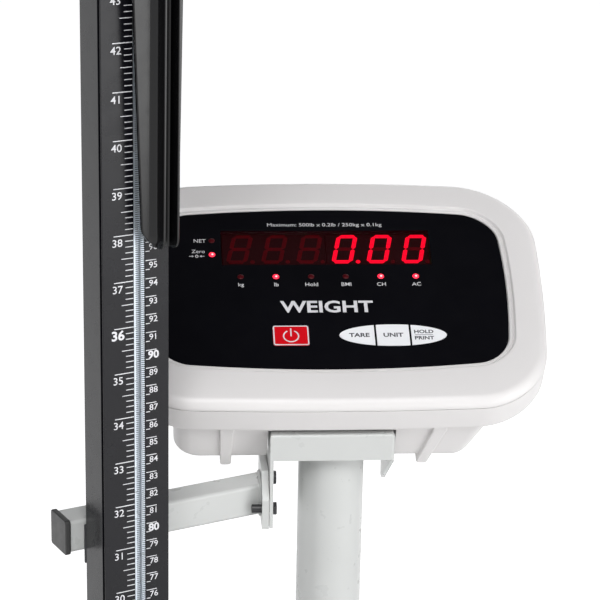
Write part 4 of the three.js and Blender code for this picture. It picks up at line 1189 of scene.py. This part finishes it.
def make_floor():
    """A pale floor that glows a little, more so far from the object, as a lit studio floor does."""
    bm = bmesh.new()
    bmesh.ops.create_grid(bm, x_segments=1, y_segments=1, size=FLOOR_HALF)
    floor = object_of("floor", bm)
    nodes = Nodes("pale_floor")
    nodes.set(Emission_Color=(1, 1, 1, 1))
    nodes.link(nodes.glow(0.5, 1.6, 0.45, 0.92), nodes.shader.inputs["Emission Strength"])
    drift = nodes.noise(3.0, 1)
    tone = nodes.ramp(drift, (0.48, 0.48, 0.485), (0.51, 0.51, 0.51))
    floor.data.materials.append(nodes.finish(tone, nodes.spread(drift, 0.85, 0.95)))


def soft_light(name, place, size, power):
    """A rectangular light aimed at the height of the head."""
    light = bpy.data.lights.new(name, "AREA")
    light.shape = "RECTANGLE"
    light.size, light.size_y = size
    light.energy = power
    obj = bpy.data.objects.new(name, light)
    obj.location = place
    aim = Vector((0, 0.05, 1.0)) - Vector(place)
    obj.rotation_euler = aim.to_track_quat("-Z", "Y").to_euler()
    bpy.context.scene.collection.objects.link(obj)


def make_world():
    """A white studio round the object, brighter at the horizon than overhead."""
    world = bpy.data.worlds.new("studio")
    world.use_nodes = True
    tree = world.node_tree
    background = tree.nodes["Background"]
    coordinates = tree.nodes.new("ShaderNodeTexCoord")
    split = tree.nodes.new("ShaderNodeSeparateXYZ")
    ramp = tree.nodes.new("ShaderNodeValToRGB")
    tree.links.new(coordinates.outputs["Generated"], split.inputs["Vector"])
    tree.links.new(split.outputs["Z"], ramp.inputs["Fac"])
    tree.links.new(ramp.outputs["Color"], background.inputs["Color"])
    stops = ramp.color_ramp.elements
    stops[0].position, stops[0].color = 0.0, (0.9, 0.9, 0.92, 1)
    stops[1].position, stops[1].color = 0.6, (0.20, 0.20, 0.215, 1)
    background.inputs["Strength"].default_value = 0.62
    bpy.context.scene.world = world


def make_lights():
    soft_light("key", (2.3, -1.6, 1.25), (1.7, 2.0), 38)
    soft_light("top", (-0.1, -1.6, 2.8), (1.6, 1.2), 50)
    soft_light("back", (0.9, 2.3, 2.1), (1.8, 1.2), 16)


LEFT_OF_COLUMN, IN_FRONT_OF_COLUMN, ABOVE_PLATFORM = 0.1129, 1.1818, 1.284
HEADING, PITCH, ROLL = 4.5, 17.8, 1.1
LENS = 131.2


def make_camera():
    """The viewing position, from the column's axis and the platform's top."""
    axis = box_middle("column_tube")
    camera = bpy.data.cameras.new("camera")
    camera.sensor_width = 36
    camera.lens = LENS
    obj = bpy.data.objects.new("camera", camera)
    heading, pitch, roll = (math.radians(angle) for angle in (HEADING, PITCH, ROLL))
    obj.location = (axis.x - LEFT_OF_COLUMN, axis.y - IN_FRONT_OF_COLUMN, PLATFORM_TOP + ABOVE_PLATFORM)
    turn = Matrix.Rotation(-heading, 4, "Z") @ Matrix.Rotation(math.pi / 2 - pitch, 4, "X")
    obj.rotation_euler = (turn @ Matrix.Rotation(roll, 4, "Z")).to_euler()
    bpy.context.scene.collection.objects.link(obj)
    bpy.context.scene.camera = obj


make_camera()
make_floor()
make_backdrop()
make_world()
make_lights()
bpy.context.scene.view_settings.view_transform = "Standard"

make_front_shell()
make_rear_shell()
make_panel()
make_keys()
make_panel_print()
make_status_leds()
make_digits()
make_head_inside()
make_bracket()
make_column()
for arm_name in ("upper", "lower"):
    make_arm(arm_name, above_platform(box_middle(arm_name + "_arm").z))
softened("upper_arm_screw", "flush_screw", 0.3, look="dark_steel")
make_rod()
make_rack()
make_marks()
make_numbers()
make_headpiece()
make_platform()
make_feet_and_cells()
make_wheels()
make_cable()
